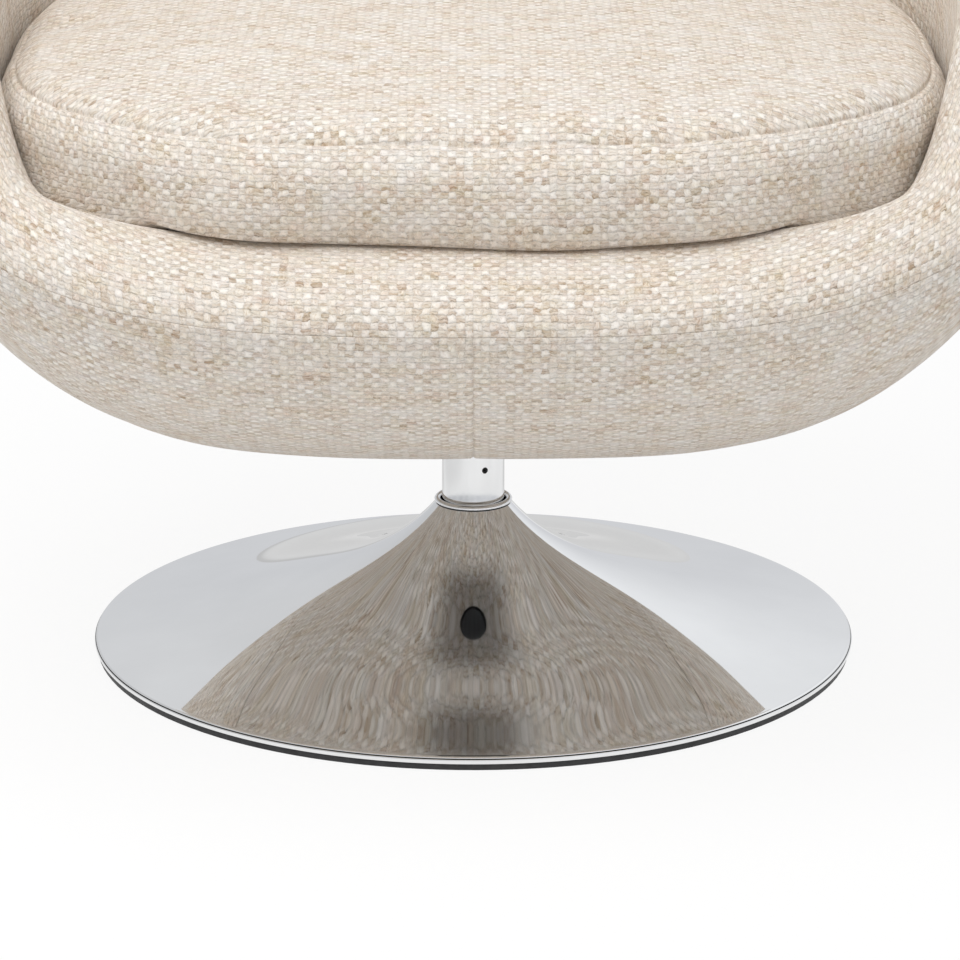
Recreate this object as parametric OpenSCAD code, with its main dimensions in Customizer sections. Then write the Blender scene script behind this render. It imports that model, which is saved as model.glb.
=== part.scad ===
// Swivel tub armchair on a spun steel trumpet base.
// Millimetres. The origin is on the floor, on the swivel axis; the front of the seat faces -Y.

/* [Base] */
// Outer diameter of the base at its rolled rim
base_d = 520; // [440:5:600]
// Height of the top of the rolled rim
rim_h = 9; // [8:0.5:14]
// Radius of the rolled bead round the rim
bead_r = 2.7; // [2:0.1:3.5]
// Wall of the spun cover
cover_wall = 1.5; // [1:0.1:2.5]
// Slope of the trumpet at the top of its neck, in degrees
neck_slope = 49.2; // [46:0.2:52]
// Slope that the trumpet flattens out to, in degrees
rim_slope = 3; // [2:0.2:4]
// Distance over which the slope falls off
flare_len = 93; // [86:1:98]
// Thickness of the steel ballast plate
ballast_t = 5; // [3:0.5:5]
// Height of the floor ring's step, which the ballast plate rests on
ring_step = 2; // [1.5:0.1:2.5]
// Height of the floor ring under the bead
ring_h = 3.4; // [3:0.1:3.6]

/* [Column] */
// Outer diameter of the polished sleeve
sleeve_d = 42.4; // [40:0.2:46]
// Wall of the sleeve
sleeve_wall = 2; // [1.5:0.1:2.5]
// Height of the small hole in the sleeve
hole_h = 126; // [116:1:140]
// Diameter of the small hole in the sleeve
hole_d = 4.2; // [3.4:0.2:5]
// Direction of the small hole, in degrees to the right of the front
hole_turn = 22; // [0:1:90]
// Outer diameter of the fixed column tube
tube_d = 34; // [32:0.5:35]
// Wall of the fixed column tube
tube_wall = 3; // [2:0.5:4]
// Height of the top of the column tube
tube_top = 150; // [140:1:158]
// Diameter of the spindle
spindle_d = 20; // [16:0.5:20]
// Running clearance round the spindle, on the radius
run_gap = 0.05; // [0.02:0.01:0.1]
// Diameter of a bearing ball
ball_d = 5; // [4:0.2:5]
// Number of bearing balls
ball_count = 12; // [8:1:14]
// Diameter of the seat plate
plate_d = 180; // [150:5:210]
// Thickness of the seat plate
plate_t = 5; // [4:0.5:6]
// Diameter of the hole in the underside that the column goes through
column_hole_d = 76; // [68:1:84]
// Diameter of the circle that the seat bolts lie on
bolt_circle = 130; // [100:5:140]

/* [Tub] */
// Half the width of the tub
tub_half_w = 386; // [376:1:396]
// Distance from the swivel axis to the front of the tub
tub_front = 386; // [376:1:396]
// Distance from the swivel axis to the back of the rim
tub_back = 386; // [380:1:396]
// Distance from the swivel axis to the back of the bowl, below the lean of the backrest
belt_back = 374; // [366:1:380]
// Squareness of the tub in plan, 2 is an ellipse
plan_power = 2.7; // [2.5:0.1:2.9]
// Height of the underside over the floor
under_h = 180; // [174:1:190]
// Half the width of the flat underside
under_half_w = 196; // [188:1:204]
// Distance from the axis to the front of the flat underside
under_front = 151; // [144:1:160]
// Distance from the axis to the back of the flat underside
under_back = 290; // [282:1:298]
// Squareness of the flat underside in plan
under_power = 3.35; // [3:0.05:3.7]
// Fullness of the bowl's side, 2 is a quarter ellipse
bowl_power = 1.53; // [1.48:0.01:1.6]
// Height of the seam in the middle of the front
front_h = 318; // [314:1:326]
// Rise of the bowl's top edge at 300 mm to the side
side_rise = 29; // [24:1:34]
// Height of the seam on the arms
arm_h = 535; // [515:5:560]
// Height of the seam on the back
back_h = 775; // [740:5:810]

/* [Upholstery] */
// Thickness of the outside cover with its foam backing
outside_t = 14; // [12:0.5:16]
// Thickness of the moulded plywood core
core_t = 8; // [6:0.5:10]
// Clearance between soft pieces and their neighbours
soft_gap = 0.4; // [0.3:0.05:0.6]
// Width of the lip from the seam to its crown, at the front
lip_w = 80; // [74:1:84]
// Height of the lip's crown over the seam, at the front
lip_h = 38; // [34:1:42]
// Width of the roll from the seam to its crown, on the arms and back
roll_w = 40; // [36:1:44]
// Height of the roll's crown over the seam, on the arms and back
roll_h = 24; // [20:1:28]
// Extra padding at the foot of the backrest
back_pad = 74; // [60:1:84]
// Forward swell of the backrest's padding
back_swell = 9; // [0:1:14]

/* [Seat] */
// Depth of the top of the spring frame below the seam in the middle of the front
rail_drop = 22; // [20:1:26]
// Thickness of the spring frame
rail_t = 18; // [15:1:20]
// Width of the spring frame's side rails
side_rail_w = 35; // [30:1:45]
// Width of the spring frame's front rail
front_rail_w = 70; // [66:1:78]
// Width of the spring frame's back rail
back_rail_w = 124; // [121:1:131]
// Diameter of the spring wire
wire_d = 3.8; // [3:0.2:4.2]
// Number of seat springs
spring_count = 4; // [3:1:5]
// Distance between neighbouring seat springs
spring_step = 110; // [80:1:118]
// Rise of the springs' arch
spring_rise = 14; // [8:1:18]
// Thickness of the pad over the springs
deck_t = 16; // [12:1:18]
// Height of the top of the seat cushion
seat_h = 446; // [438:1:458]
// Height of the crown over the cushion's edge
crown_h = 16; // [10:1:22]
// Radius of the cushion's top edge
edge_r = 34; // [26:1:38]

/* [Hidden] */

fit_gap = 0.1;
columns = 48;
round_fn = 96;

// Heights up the column
ballast_z = ring_step;
foot_z = ballast_z + ballast_t;
foot_t = 6;
foot_d = 110;
foot_circle = 80;
foot_bolt_d = 8;
bush_len = 20;
bush_lip = 2;
race_t = 3.5;
race_step = 0.85;
ball_z = tube_top + bush_lip + race_t + ball_d / 2 - race_step;
race_in_r = spindle_d / 2 + 0.5;
race_out_r = tube_d / 2 + 0.5;
ball_ring_r = (race_in_r + race_out_r) / 2;
hub_z = 2 * ball_z - tube_top - bush_lip;
core_z = under_h + outside_t + soft_gap;
board_t = 12;
board_z = core_z + core_t + fit_gap;
board_top = board_z + board_t;
rail_h = front_h - rail_drop;
plate_z = board_z - plate_t;
spindle_z = 24;
bolt_d = 8;
washer_t = 1.6;
head_t = 5.3;

// Shared curves
function smooth(a, b, x) =
    let (t = min(1, max(0, (x - a) / (b - a)))) t * t * (3 - 2 * t);
function power(x, p) = sign(x) * pow(abs(x), p);
function folded(u) = u <= 180 ? u : 360 - u;
function unit(v) = v / norm(v);

// A superellipse in plan; u runs from the front, 0, over +X, 90, to the back, 180
function plan(u, half_w, front, back, n) = [
    half_w * power(sin(u), 2 / n),
    cos(u) > 0 ? -front * pow(cos(u), 2 / n) : back * pow(-cos(u), 2 / n)
];
function under_at(u, inset = 0) = plan(u,
    under_half_w - inset, under_front - inset, under_back - inset, under_power);
function belt_xy(u) = plan(u, tub_half_w, tub_front, belt_back, plan_power);
function rim_xy(u) = plan(u, tub_half_w, tub_front, tub_back, plan_power);
function belt_z(u) =
    let (x = tub_half_w * pow(sin(min(folded(u), 90)), 2 / plan_power))
    front_h + side_rise * pow(x / 300, 3.76);
// A rise that starts gently and ends on a round top
function swept(t) = 1 - pow(1 - pow(t, 2.2), 1.5);
function rim_z(u) = belt_z(u)
    + (arm_h - belt_z(90)) * smooth(45, 98, folded(u))
    + (back_h - arm_h) * swept(max(0, (folded(u) - 94) / 86));
function under_pt(u) = concat(under_at(u), under_h);
function belt_pt(u) = concat(belt_xy(u), belt_z(u));
function rim_pt(u) = concat(rim_xy(u), rim_z(u));
// Direction in plan that the wall leans out along, and the one square to the rim
function out_dir(u) = unit(belt_xy(u) - under_at(u));
function rim_dir(u) =
    let (p = rim_xy(u), depth = cos(u) > 0 ? tub_front : tub_back)
    unit([
        power(p.x / tub_half_w, plan_power - 1) / tub_half_w,
        power(p.y / depth, plan_power - 1) / depth
    ]);

// The tub's outer surface: a bowl from the flat underside to the belt, then the wall up to
// the seam. w runs from 0 at the underside to 1 at the seam.
function bowl_len(u) = 1.1 * norm(belt_pt(u) - under_pt(u));
function wall_len(u) = norm(rim_pt(u) - belt_pt(u));
function outer_len(u) = bowl_len(u) + wall_len(u);
function bowl_pt(u, v) =
    let (
        a = under_pt(u),
        b = belt_pt(u),
        out = pow(sin(90 * v), 2 / bowl_power),
        up = 1 - pow(cos(90 * v), 2 / bowl_power)
    )
    [a.x + (b.x - a.x) * out, a.y + (b.y - a.y) * out, a.z + (b.z - a.z) * up];
function outer_pt(u, w) =
    let (share = bowl_len(u) / outer_len(u))
    w <= share ? bowl_pt(u, w / share)
    : belt_pt(u) + (rim_pt(u) - belt_pt(u)) * (w - share) / (1 - share);
// A point that lies d inside the outer surface
function inside_pt(u, w, d) =
    let (
        e = 0.004,
        step = outer_pt(u, min(1, w + e)) - outer_pt(u, max(0, w - e)),
        h = out_dir(u),
        run = step.x * h.x + step.y * h.y,
        size = sqrt(run * run + step.z * step.z),
        p = outer_pt(u, w)
    )
    [p.x - d * h.x * step.z / size, p.y - d * h.y * step.z / size, p.z + d * run / size];
// The place up the wall where the surface d inside it reaches the height z
function w_at(u, z, d, lo = 0, hi = 1, n = 14) =
    let (mid = (lo + hi) / 2)
    n == 0 ? mid
    : inside_pt(u, mid, d).z < z ? w_at(u, z, d, mid, hi, n - 1)
    : w_at(u, z, d, lo, mid, n - 1);

core_d = outside_t + soft_gap;
slot_gap = 5.6;
slot_d = core_d + core_t + slot_gap;
function core_top(u) = 1 - (10 + 20 * smooth(45, 98, folded(u))) / outer_len(u);

// The cover and the core share these places up the wall, so that their facets lie parallel
wall_steps = [0, 0.12, 0.26, 0.42, 0.58, 0.72, 0.86, 1];
function wall_w(u) = wall_steps * core_top(u);

// The inside pad's profile, as an inset from the seam and a height
function crown_s(u) = lip_w + (roll_w - lip_w) * smooth(8, 54, folded(u));
function crown_z(u) = rim_z(u) + soft_gap + lip_h + (roll_h - lip_h) * smooth(8, 70, folded(u));
function fall_s(u) = 14 + 20 * smooth(8, 54, folded(u));
function fall_z(u) = 22 + 23 * smooth(8, 54, folded(u));
function foot_s(u) = crown_s(u) + fall_s(u) + 2 + back_pad * smooth(92, 165, folded(u));
pad_z = rail_h + soft_gap;
function swell(u, q) = back_swell * smooth(110, 170, folded(u)) * sin(180 * q);
// Inset of the pad's inner face at the height z
function face_s(u, z) =
    let (
        top = crown_z(u) - fall_z(u),
        top_s = crown_s(u) + fall_s(u),
        q = (top - z) / (top - pad_z)
    )
    z <= top ? top_s + (foot_s(u) - top_s) * q + swell(u, q)
    : crown_s(u) + fall_s(u) * sqrt(max(0, 1 - pow((z - top) / fall_z(u), 2)));
function section_pt(u, s, z) =
    let (p = rim_xy(u), h = rim_dir(u))
    [p.x - s * h.x, p.y - s * h.y, z];

// Meshes: a closed band of equal sections, and a stack of rings closed at both ends.
// From the point "turn" on, a band's section runs down again, and its quads are split the
// other way, so that neighbouring layers have parallel facets.
function band_faces(n, m, turn) = [
    for (i = [0 : n - 1], j = [0 : m - 1])
        let (
            a = i * m + j,
            b = i * m + (j + 1) % m,
            c = ((i + 1) % n) * m + j,
            d = ((i + 1) % n) * m + (j + 1) % m
        )
        each j < turn ? [[a, b, c], [b, d, c]] : [[a, b, d], [a, d, c]]
];
module band(sections, turn) {
    points = [for (s = sections) each s];
    polyhedron(points, band_faces(len(sections), len(sections[0]), turn));
}
function stack_faces(n, m) = concat(
    [for (i = [0 : n - 2], j = [0 : m - 1])
        let (a = i * m + j, b = i * m + (j + 1) % m)
        each [[a, a + m, b], [b, a + m, b + m]]],
    [for (j = [0 : m - 1]) [n * m, j, (j + 1) % m]],
    [for (j = [0 : m - 1]) [n * m + 1, (n - 1) * m + (j + 1) % m, (n - 1) * m + j]]
);
module stack(rings, bottom, top) {
    points = concat([for (r = rings) each r], [bottom, top]);
    polyhedron(points, stack_faces(len(rings), len(rings[0])));
}
// The angles are closer together near the axes, which spaces the columns evenly in plan
function around(i) =
    let (a = 360 * i / columns)
    a - 10 * sin(4 * a);

module tube(r_out, r_in, z, h) {
    translate([0, 0, z])
        difference() {
            cylinder(r = r_out, h = h, $fn = round_fn);
            translate([0, 0, -1])
                cylinder(r = r_in, h = h + 2, $fn = round_fn);
        }
}
module on_circle(d, count, turn = 0) {
    for (i = [0 : count - 1])
        rotate([0, 0, turn + 360 * i / count])
            translate([d / 2, 0, 0])
                children();
}

// Rubber ring that the base stands on, with a step for the ballast plate
module floor_ring() {
    r = base_d / 2 - 2;
    plate_r = r - 15;
    color([0.13, 0.13, 0.13])
        rotate_extrude($fn = round_fn)
            polygon([
                [r - 30, 0], [r, 0], [r, ring_h], [plate_r + 0.3, ring_h],
                [plate_r + 0.3, ring_step], [r - 30, ring_step]
            ]);
}

// Steel disc that holds the chair down
module ballast_plate() {
    color([0.3, 0.3, 0.32])
        difference() {
            translate([0, 0, ballast_z])
                cylinder(r = base_d / 2 - 17, h = ballast_t, $fn = round_fn);
            on_circle(foot_circle, 4, 45)
                cylinder(d = foot_bolt_d + 0.3, h = 40, $fn = 32);
        }
}

// Flange and four gussets welded round the foot of the column tube
module column_foot() {
    gusset_t = 4;
    gusset_h = 46;
    color([0.25, 0.25, 0.27])
        difference() {
            union() {
                translate([0, 0, foot_z])
                    cylinder(d = foot_d, h = foot_t, $fn = round_fn);
                for (i = [0 : 3])
                    rotate([90, 0, 90 * i])
                        translate([0, 0, -gusset_t / 2])
                            linear_extrude(gusset_t)
                                polygon([
                                    [0, foot_z + foot_t - 1], [foot_d / 2 - 3, foot_z + foot_t - 1],
                                    [foot_d / 2 - 3, foot_z + foot_t + 4],
                                    [tube_d / 2 + 4, foot_z + foot_t + gusset_h],
                                    [0, foot_z + foot_t + gusset_h]
                                ]);
            }
            cylinder(d = tube_d + 2 * fit_gap, h = 200, $fn = round_fn);
            on_circle(foot_circle, 4, 45)
                cylinder(d = foot_bolt_d + 0.6, h = 200, $fn = 32);
        }
}

// A hexagon bolt with its head's seat at z, pointing down or up
module hex_bolt(d, len, head_h, flats, up = false) {
    mirror([0, 0, up ? 1 : 0]) {
        cylinder(d = flats / cos(30), h = head_h, $fn = 6);
        translate([0, 0, -len])
            cylinder(d = d, h = len + 0.5, $fn = 32);
    }
}
module foot_bolts() {
    color([0.62, 0.62, 0.64])
        on_circle(foot_circle, 4, 45)
            translate([0, 0, foot_z + foot_t])
                hex_bolt(foot_bolt_d, foot_t + ballast_t - 0.5, head_t, 13);
}

// Fixed tube that the spindle turns in
module column_tube() {
    color([0.3, 0.3, 0.32])
        tube(tube_d / 2, tube_d / 2 - tube_wall, foot_z, tube_top - foot_z);
}
module lower_bush() {
    color([0.78, 0.74, 0.6])
        tube(tube_d / 2 - tube_wall, spindle_d / 2 + run_gap, spindle_z + 12, bush_len);
}
module upper_bush() {
    color([0.78, 0.74, 0.6])
        difference() {
            union() {
                translate([0, 0, tube_top - bush_len])
                    cylinder(r = tube_d / 2 - tube_wall, h = bush_len, $fn = round_fn);
                translate([0, 0, tube_top])
                    cylinder(d = tube_d, h = bush_lip, $fn = round_fn);
            }
            translate([0, 0, tube_top - bush_len - 1])
                cylinder(r = spindle_d / 2 + run_gap, h = bush_len + bush_lip + 2, $fn = round_fn);
        }
}

// The trumpet's profile: its slope falls off exponentially from the neck to the rim, and its
// height is the sum of the slopes from the rim inward.
neck_r = sleeve_d / 2 + 4.8;
flare_end = base_d / 2 - bead_r;
flare_steps = 24;
function flare_r(k) = neck_r + (flare_end - neck_r) * pow(k / flare_steps, 1.6);
function flare_slope(r) = rim_slope + (neck_slope - rim_slope) * exp(-(r - neck_r) / flare_len);
function flare_z(k) =
    k == flare_steps ? rim_h
    : let (a = flare_r(k), b = flare_r(k + 1))
        flare_z(k + 1) + (b - a) * (tan(flare_slope(a)) + 4 * tan(flare_slope((a + b) / 2))
            + tan(flare_slope(b))) / 6;
neck_h = flare_z(0);
// A point on the underside of a wall that is t thick
function flare_pt(k, t) =
    let (slope = flare_slope(flare_r(k)))
    [flare_r(k), flare_z(k)] - t * [sin(slope), cos(slope)];
function reversed(list) = [for (i = [len(list) - 1 : -1 : 0]) list[i]];
module base_cover() {
    lip = 2.5;
    slope = flare_slope(flare_end);
    bead_mid = [flare_end, rim_h - bead_r];
    bead = [for (a = [90 : -22.5 : -90]) bead_mid + bead_r * [cos(a), sin(a)]];
    lip_low = bead_mid - [lip, bead_r];
    lip_high = flare_pt(flare_steps, cover_wall) - lip * [cos(slope), -sin(slope)];
    color([0.85, 0.86, 0.88])
        rotate_extrude($fn = 180)
            polygon(concat(
                [for (k = [0 : flare_steps - 1]) flare_pt(k, 0)], bead, [lip_low, lip_high],
                [for (k = [flare_steps - 1 : -1 : 0]) flare_pt(k, cover_wall)]
            ));
}

// Bright trim ring on the neck, with a skirt that centres it
module collar_ring() {
    bead = 2.1;
    skirt_r = sleeve_d / 2 + 1.6;
    color([0.85, 0.86, 0.88])
        rotate_extrude($fn = round_fn)
            union() {
                translate([neck_r - 1.6, neck_h + 1.9])
                    circle(r = bead, $fn = 32);
                translate([skirt_r, neck_h - 13])
                    square([1.2, 15]);
            }
}
module collar_liner() {
    color([0.08, 0.08, 0.08])
        tube(sleeve_d / 2 + 1.5, sleeve_d / 2 + fit_gap, neck_h - 12, 9);
}

// Polished sleeve round the column, with the hole of its locking screw
module at_hole() {
    rotate([0, 0, -90 + hole_turn])
        translate([0, 0, hole_h])
            rotate([0, 90, 0])
                children();
}
module column_sleeve() {
    low = neck_h - 10;
    color([0.82, 0.82, 0.83])
        difference() {
            tube(sleeve_d / 2, sleeve_d / 2 - sleeve_wall, low, plate_z - 3 - low);
            at_hole()
                cylinder(d = hole_d, h = sleeve_d, $fn = 32);
        }
}
module sleeve_spacer() {
    color([0.15, 0.15, 0.16])
        difference() {
            tube(sleeve_d / 2 - sleeve_wall - fit_gap, tube_d / 2 + fit_gap, hole_h - 8, 16);
            at_hole()
                cylinder(d = hole_d, h = sleeve_d, $fn = 32);
        }
}
module sleeve_screw() {
    screw_d = hole_d - 0.2;
    low = tube_d / 2 + 0.05;
    color([0.2, 0.2, 0.2])
        at_hole()
            difference() {
                translate([0, 0, low])
                    cylinder(d = screw_d, h = sleeve_d / 2 - 0.8 - low, $fn = 32);
                translate([0, 0, sleeve_d / 2 - 2.4])
                    cylinder(d = screw_d / 2, h = 3, $fn = 6);
            }
}

// Thrust bearing between the fixed column and the turning hub
module race(z, r_in, groove_z) {
    color([0.7, 0.7, 0.72])
        difference() {
            tube(race_out_r, r_in, z, race_t);
            translate([0, 0, groove_z])
                rotate_extrude($fn = round_fn)
                    translate([ball_ring_r, 0])
                        circle(r = ball_d / 2 + 0.05, $fn = 32);
        }
}
module lower_race() {
    race(tube_top + bush_lip, race_in_r, ball_z);
}
module upper_race() {
    race(hub_z - race_t, spindle_d / 2 + 0.02, ball_z);
}
module bearing_balls() {
    color([0.8, 0.8, 0.82])
        on_circle(2 * ball_ring_r, ball_count)
            translate([0, 0, ball_z])
                sphere(d = ball_d, $fn = 32);
}
module ball_cage() {
    cage_t = 1.6;
    color([0.75, 0.6, 0.3])
        difference() {
            tube(race_out_r - 0.4, race_in_r + 0.2, ball_z - cage_t / 2, cage_t);
            on_circle(2 * ball_ring_r, ball_count)
                translate([0, 0, ball_z - cage_t])
                    cylinder(d = ball_d + 0.3, h = 2 * cage_t, $fn = 32);
        }
}

// Spindle that hangs from the seat plate, held below by a washer and a ring in its groove
module spindle() {
    groove_w = 1.4;
    color([0.68, 0.68, 0.7])
        difference() {
            translate([0, 0, spindle_z])
                cylinder(d = spindle_d, h = board_z - spindle_z - 0.2, $fn = round_fn);
            tube(spindle_d, spindle_d / 2 - 1, spindle_z + 5, groove_w);
        }
}
module spindle_washer() {
    color([0.6, 0.6, 0.62])
        tube(tube_d / 2 - tube_wall - 0.5, spindle_d / 2 + run_gap, spindle_z + 9, 2);
}
module retaining_ring() {
    color([0.2, 0.2, 0.22])
        difference() {
            tube(spindle_d / 2 + 2.4, spindle_d / 2 - 0.95, spindle_z + 5.1, 1.2);
            translate([0, -3, spindle_z])
                cube([spindle_d, 6, 10]);
        }
}
// Turned hub welded under the seat plate; it rests on the bearing
module plate_hub() {
    color([0.12, 0.12, 0.12])
        tube(sleeve_d / 2 - sleeve_wall - 1, spindle_d / 2 + 0.02, hub_z, plate_z - hub_z);
}
module seat_plate() {
    color([0.1, 0.1, 0.1])
        difference() {
            translate([0, 0, plate_z])
                cylinder(d = plate_d, h = plate_t, $fn = round_fn);
            translate([0, 0, plate_z - 1])
                cylinder(d = spindle_d + 0.04, h = plate_t + 2, $fn = round_fn);
            on_circle(bolt_circle, 4, 45)
                translate([0, 0, plate_z - 1])
                    cylinder(d = bolt_d + 1, h = plate_t + 2, $fn = 32);
        }
}
module seat_bolts() {
    color([0.15, 0.15, 0.15])
        on_circle(bolt_circle, 4, 45)
            translate([0, 0, plate_z - washer_t])
                hex_bolt(bolt_d, washer_t + plate_t + board_t + 4, head_t, 13, true);
}
module bolt_washers() {
    color([0.5, 0.5, 0.5])
        on_circle(bolt_circle, 4, 45)
            tube(bolt_d, bolt_d / 2 + 0.2, plate_z - washer_t, washer_t);
}
tee_r = bolt_d / 2 + 1.4;
module tee_nuts() {
    color([0.65, 0.65, 0.6])
        on_circle(bolt_circle, 4, 45)
            difference() {
                union() {
                    translate([0, 0, board_z + board_t])
                        cylinder(r = 11, h = 1.5, $fn = 48);
                    translate([0, 0, board_z + 3])
                        cylinder(r = tee_r, h = board_t - 2.5, $fn = 48);
                }
                cylinder(d = bolt_d + 0.1, h = 400, $fn = 32);
            }
}

// Plywood board on the core's flange, which the seat plate bolts to
screw_in = 26;
screw_count = 10;
screw_d = 4;
function screw_xy(i) = under_at(360 * (i + 0.5) / screw_count, screw_in);
module at_core_screws() {
    for (i = [0 : screw_count - 1])
        translate(screw_xy(i))
            children();
}
module seat_board() {
    color([0.76, 0.6, 0.4])
        difference() {
            translate([0, 0, board_z])
                linear_extrude(board_t)
                    polygon([for (i = [0 : columns - 1]) under_at(around(i), 4)]);
            on_circle(bolt_circle, 4, 45)
                cylinder(r = tee_r + 0.1, h = 400, $fn = 48);
            at_core_screws()
                cylinder(d = screw_d + 0.1, h = 400, $fn = 24);
        }
}

// Moulded plywood core of the tub: a flange under the board, the bowl, and the wall
function flange_pt(u, z) = concat(under_at(u, 46), z);
function core_section(u) = concat(
    [flange_pt(u, core_z)],
    [for (w = wall_w(u)) inside_pt(u, w, core_d)],
    [for (w = reversed(wall_w(u))) inside_pt(u, w, core_d + core_t)],
    [flange_pt(u, core_z + core_t)]
);
module tub_core() {
    color([0.72, 0.56, 0.38])
        difference() {
            band([for (i = [0 : columns - 1]) core_section(around(i))], len(wall_steps) + 1);
            at_core_screws()
                translate([0, 0, core_z - 1])
                    cylinder(d = screw_d + 0.1, h = core_t + 4, $fn = 24);
        }
}
module core_screws() {
    head = 2.4;
    color([0.7, 0.66, 0.5])
        at_core_screws() {
            translate([0, 0, core_z - head - fit_gap])
                cylinder(d1 = 1.4 * screw_d, d2 = 2 * screw_d, h = head, $fn = 24);
            translate([0, 0, core_z - 0.5])
                cylinder(d = screw_d, h = core_t + board_t - 2, $fn = 24);
        }
}

// Two shaped bearers that carry the spring frame on the board; their ends follow the core
bearer_x = 120;
bearer_w = 26;
bearer_low = board_top + fit_gap;
bearer_high = rail_h - rail_t;
// How far back the inside of the core lies at the height z, at the bearers' outer faces; u
// runs from lo, in the middle of the front or back, to hi, at the side
function bearer_end(z, lo, hi = 90, n = 12) =
    let (
        d = core_d + core_t + 5,
        u = (lo + hi) / 2,
        p = inside_pt(u, w_at(u, z, d), d)
    )
    n == 0 ? p.y
    : p.x < bearer_x + bearer_w / 2 ? bearer_end(z, u, hi, n - 1)
    : bearer_end(z, lo, u, n - 1);
module bearers() {
    levels = [bearer_low, (bearer_low + bearer_high) / 2, bearer_high];
    color([0.8, 0.66, 0.46])
        for (side = [-1, 1])
            translate([side * bearer_x - bearer_w / 2, 0, 0])
                rotate([90, 0, 90])
                    linear_extrude(bearer_w)
                        polygon(concat(
                            [for (z = levels) [bearer_end(z, 0), z]],
                            [for (z = reversed(levels)) [bearer_end(z, 180), z]]
                        ));
}
module at_bearer_screws() {
    end_in = 14;
    for (side = [-1, 1], y = [bearer_end(bearer_high, 0) + end_in, bearer_end(bearer_high, 180) - end_in])
        translate([side * bearer_x, y, 0])
            children();
}
module bearer_screws() {
    color([0.7, 0.66, 0.5])
        at_bearer_screws()
            translate([0, 0, rail_h - rail_t + 0.1])
                cylinder(d = screw_d, h = rail_t - 0.4, $fn = 24);
}

// Plywood ring that the springs are fixed to; its edge follows the inside of the core
edge_d = slot_d + 1;
function frame_pt(u) = inside_pt(u, w_at(u, rail_h - rail_t, edge_d), edge_d);
opening_half_w = frame_pt(90).x - side_rail_w;
opening_front = -frame_pt(0).y - front_rail_w;
opening_back = frame_pt(180).y - back_rail_w;
module spring_frame() {
    color([0.78, 0.62, 0.42])
        difference() {
            translate([0, 0, rail_h - rail_t])
                linear_extrude(rail_t)
                    difference() {
                        polygon([
                            for (i = [0 : columns - 1])
                                let (p = frame_pt(around(i)))
                                [p.x, p.y]
                        ]);
                        polygon([
                            for (i = [0 : columns - 1])
                                plan(around(i), opening_half_w, opening_front, opening_back, 3)
                        ]);
                    }
            at_bearer_screws()
                cylinder(d = screw_d + 0.1, h = 400, $fn = 24);
        }
}

// Sinuous springs: straight bars across, joined by half turns, on one long arch
clip_in = 9;
spring_front = opening_front + clip_in;
spring_back = opening_back + clip_in;
spring_half = (spring_front + spring_back) / 2;
spring_mid = (spring_back - spring_front) / 2;
wire_z = rail_h + wire_d / 2 + 0.4;
arch_r = (spring_half * spring_half + spring_rise * spring_rise) / (2 * spring_rise);
arch_angle = asin(spring_half / arch_r);
bar_count = 16;
bar_half = 13;
bar_step = 2 * arch_angle / (bar_count - 1);
turn_r = arch_r * sin(bar_step / 2);
wire_sides = 6;
function arch_z(y) = spring_rise * max(0, 1 - pow((y - spring_mid) / spring_half, 2));
// A point of the wire's frame at the angle a along the arch
function arch_pt(a, p) = [
    p.x,
    spring_mid + p.y * cos(a) + (arch_r + p.z) * sin(a),
    wire_z + spring_rise - arch_r - p.y * sin(a) + (arch_r + p.z) * cos(a)
];
// The wire's ring on half turn i, at the angle t round it, with its centre shifted in x
function wire_ring(i, t, shift = 0) =
    let (
        side = i % 2 == 0 ? 1 : -1,
        sink = arch_r * (1 - cos(bar_step / 2)),
        mid = [side * (bar_half + turn_r * cos(t) - shift), turn_r * sin(t), -sink],
        across = [cos(t), side * sin(t), 0]
    )
    [
        for (k = [0 : wire_sides - 1])
            let (f = -360 * k / wire_sides)
            arch_pt(-arch_angle + (i + 0.5) * bar_step,
                mid + wire_d / 2 * (across * cos(f) + [0, 0, 1] * sin(f)))
    ];
function mean(ring) = [for (p = ring) 1 / len(ring)] * ring;
module spring() {
    turns = bar_count - 1;
    rings = concat(
        [wire_ring(0, -90, 2 * bar_half)],
        [for (i = [0 : turns - 1], t = [-90 : 60 : 90]) wire_ring(i, t)],
        [wire_ring(turns - 1, 90, 2 * bar_half)]
    );
    stack(rings, mean(rings[0]), mean(rings[len(rings) - 1]));
}
module at_springs() {
    for (i = [0 : spring_count - 1])
        translate([(i - (spring_count - 1) / 2) * spring_step, 0, 0])
            children();
}
module seat_springs() {
    color([0.55, 0.55, 0.57])
        at_springs()
            spring();
}

// Folded clip over the end bar of a spring, nailed to the frame
module at_clips() {
    at_springs() {
        translate([0, -spring_front, rail_h])
            children();
        translate([0, spring_back, rail_h])
            mirror([0, 1, 0])
                children();
    }
}
clip_w = 16;
clip_t = 1.1;
clip_tail = 11;
module spring_clips() {
    eye = wire_d / 2 + 0.25;
    mid = wire_z - rail_h;
    color([0.6, 0.6, 0.58])
        at_clips()
            difference() {
                union() {
                    translate([-clip_w / 2, 0, mid])
                        rotate([0, 90, 0])
                            cylinder(r = eye + clip_t, h = clip_w, $fn = 32);
                    translate([-clip_w / 2, -clip_tail, 0.05])
                        cube([clip_w, clip_tail, clip_t]);
                }
                translate([-clip_w, 0, mid])
                    rotate([0, 90, 0])
                        cylinder(r = eye, h = 2 * clip_w, $fn = 32);
                translate([-clip_w, -20, -10])
                    cube([2 * clip_w, 40, 10.05]);
                translate([-clip_w, 0, mid - eye - 3])
                    cube([2 * clip_w, 20, eye + 2]);
                translate([0, -clip_tail + 3.5, -1])
                    cylinder(d = 2.6, h = 6, $fn = 24);
            }
}
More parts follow.
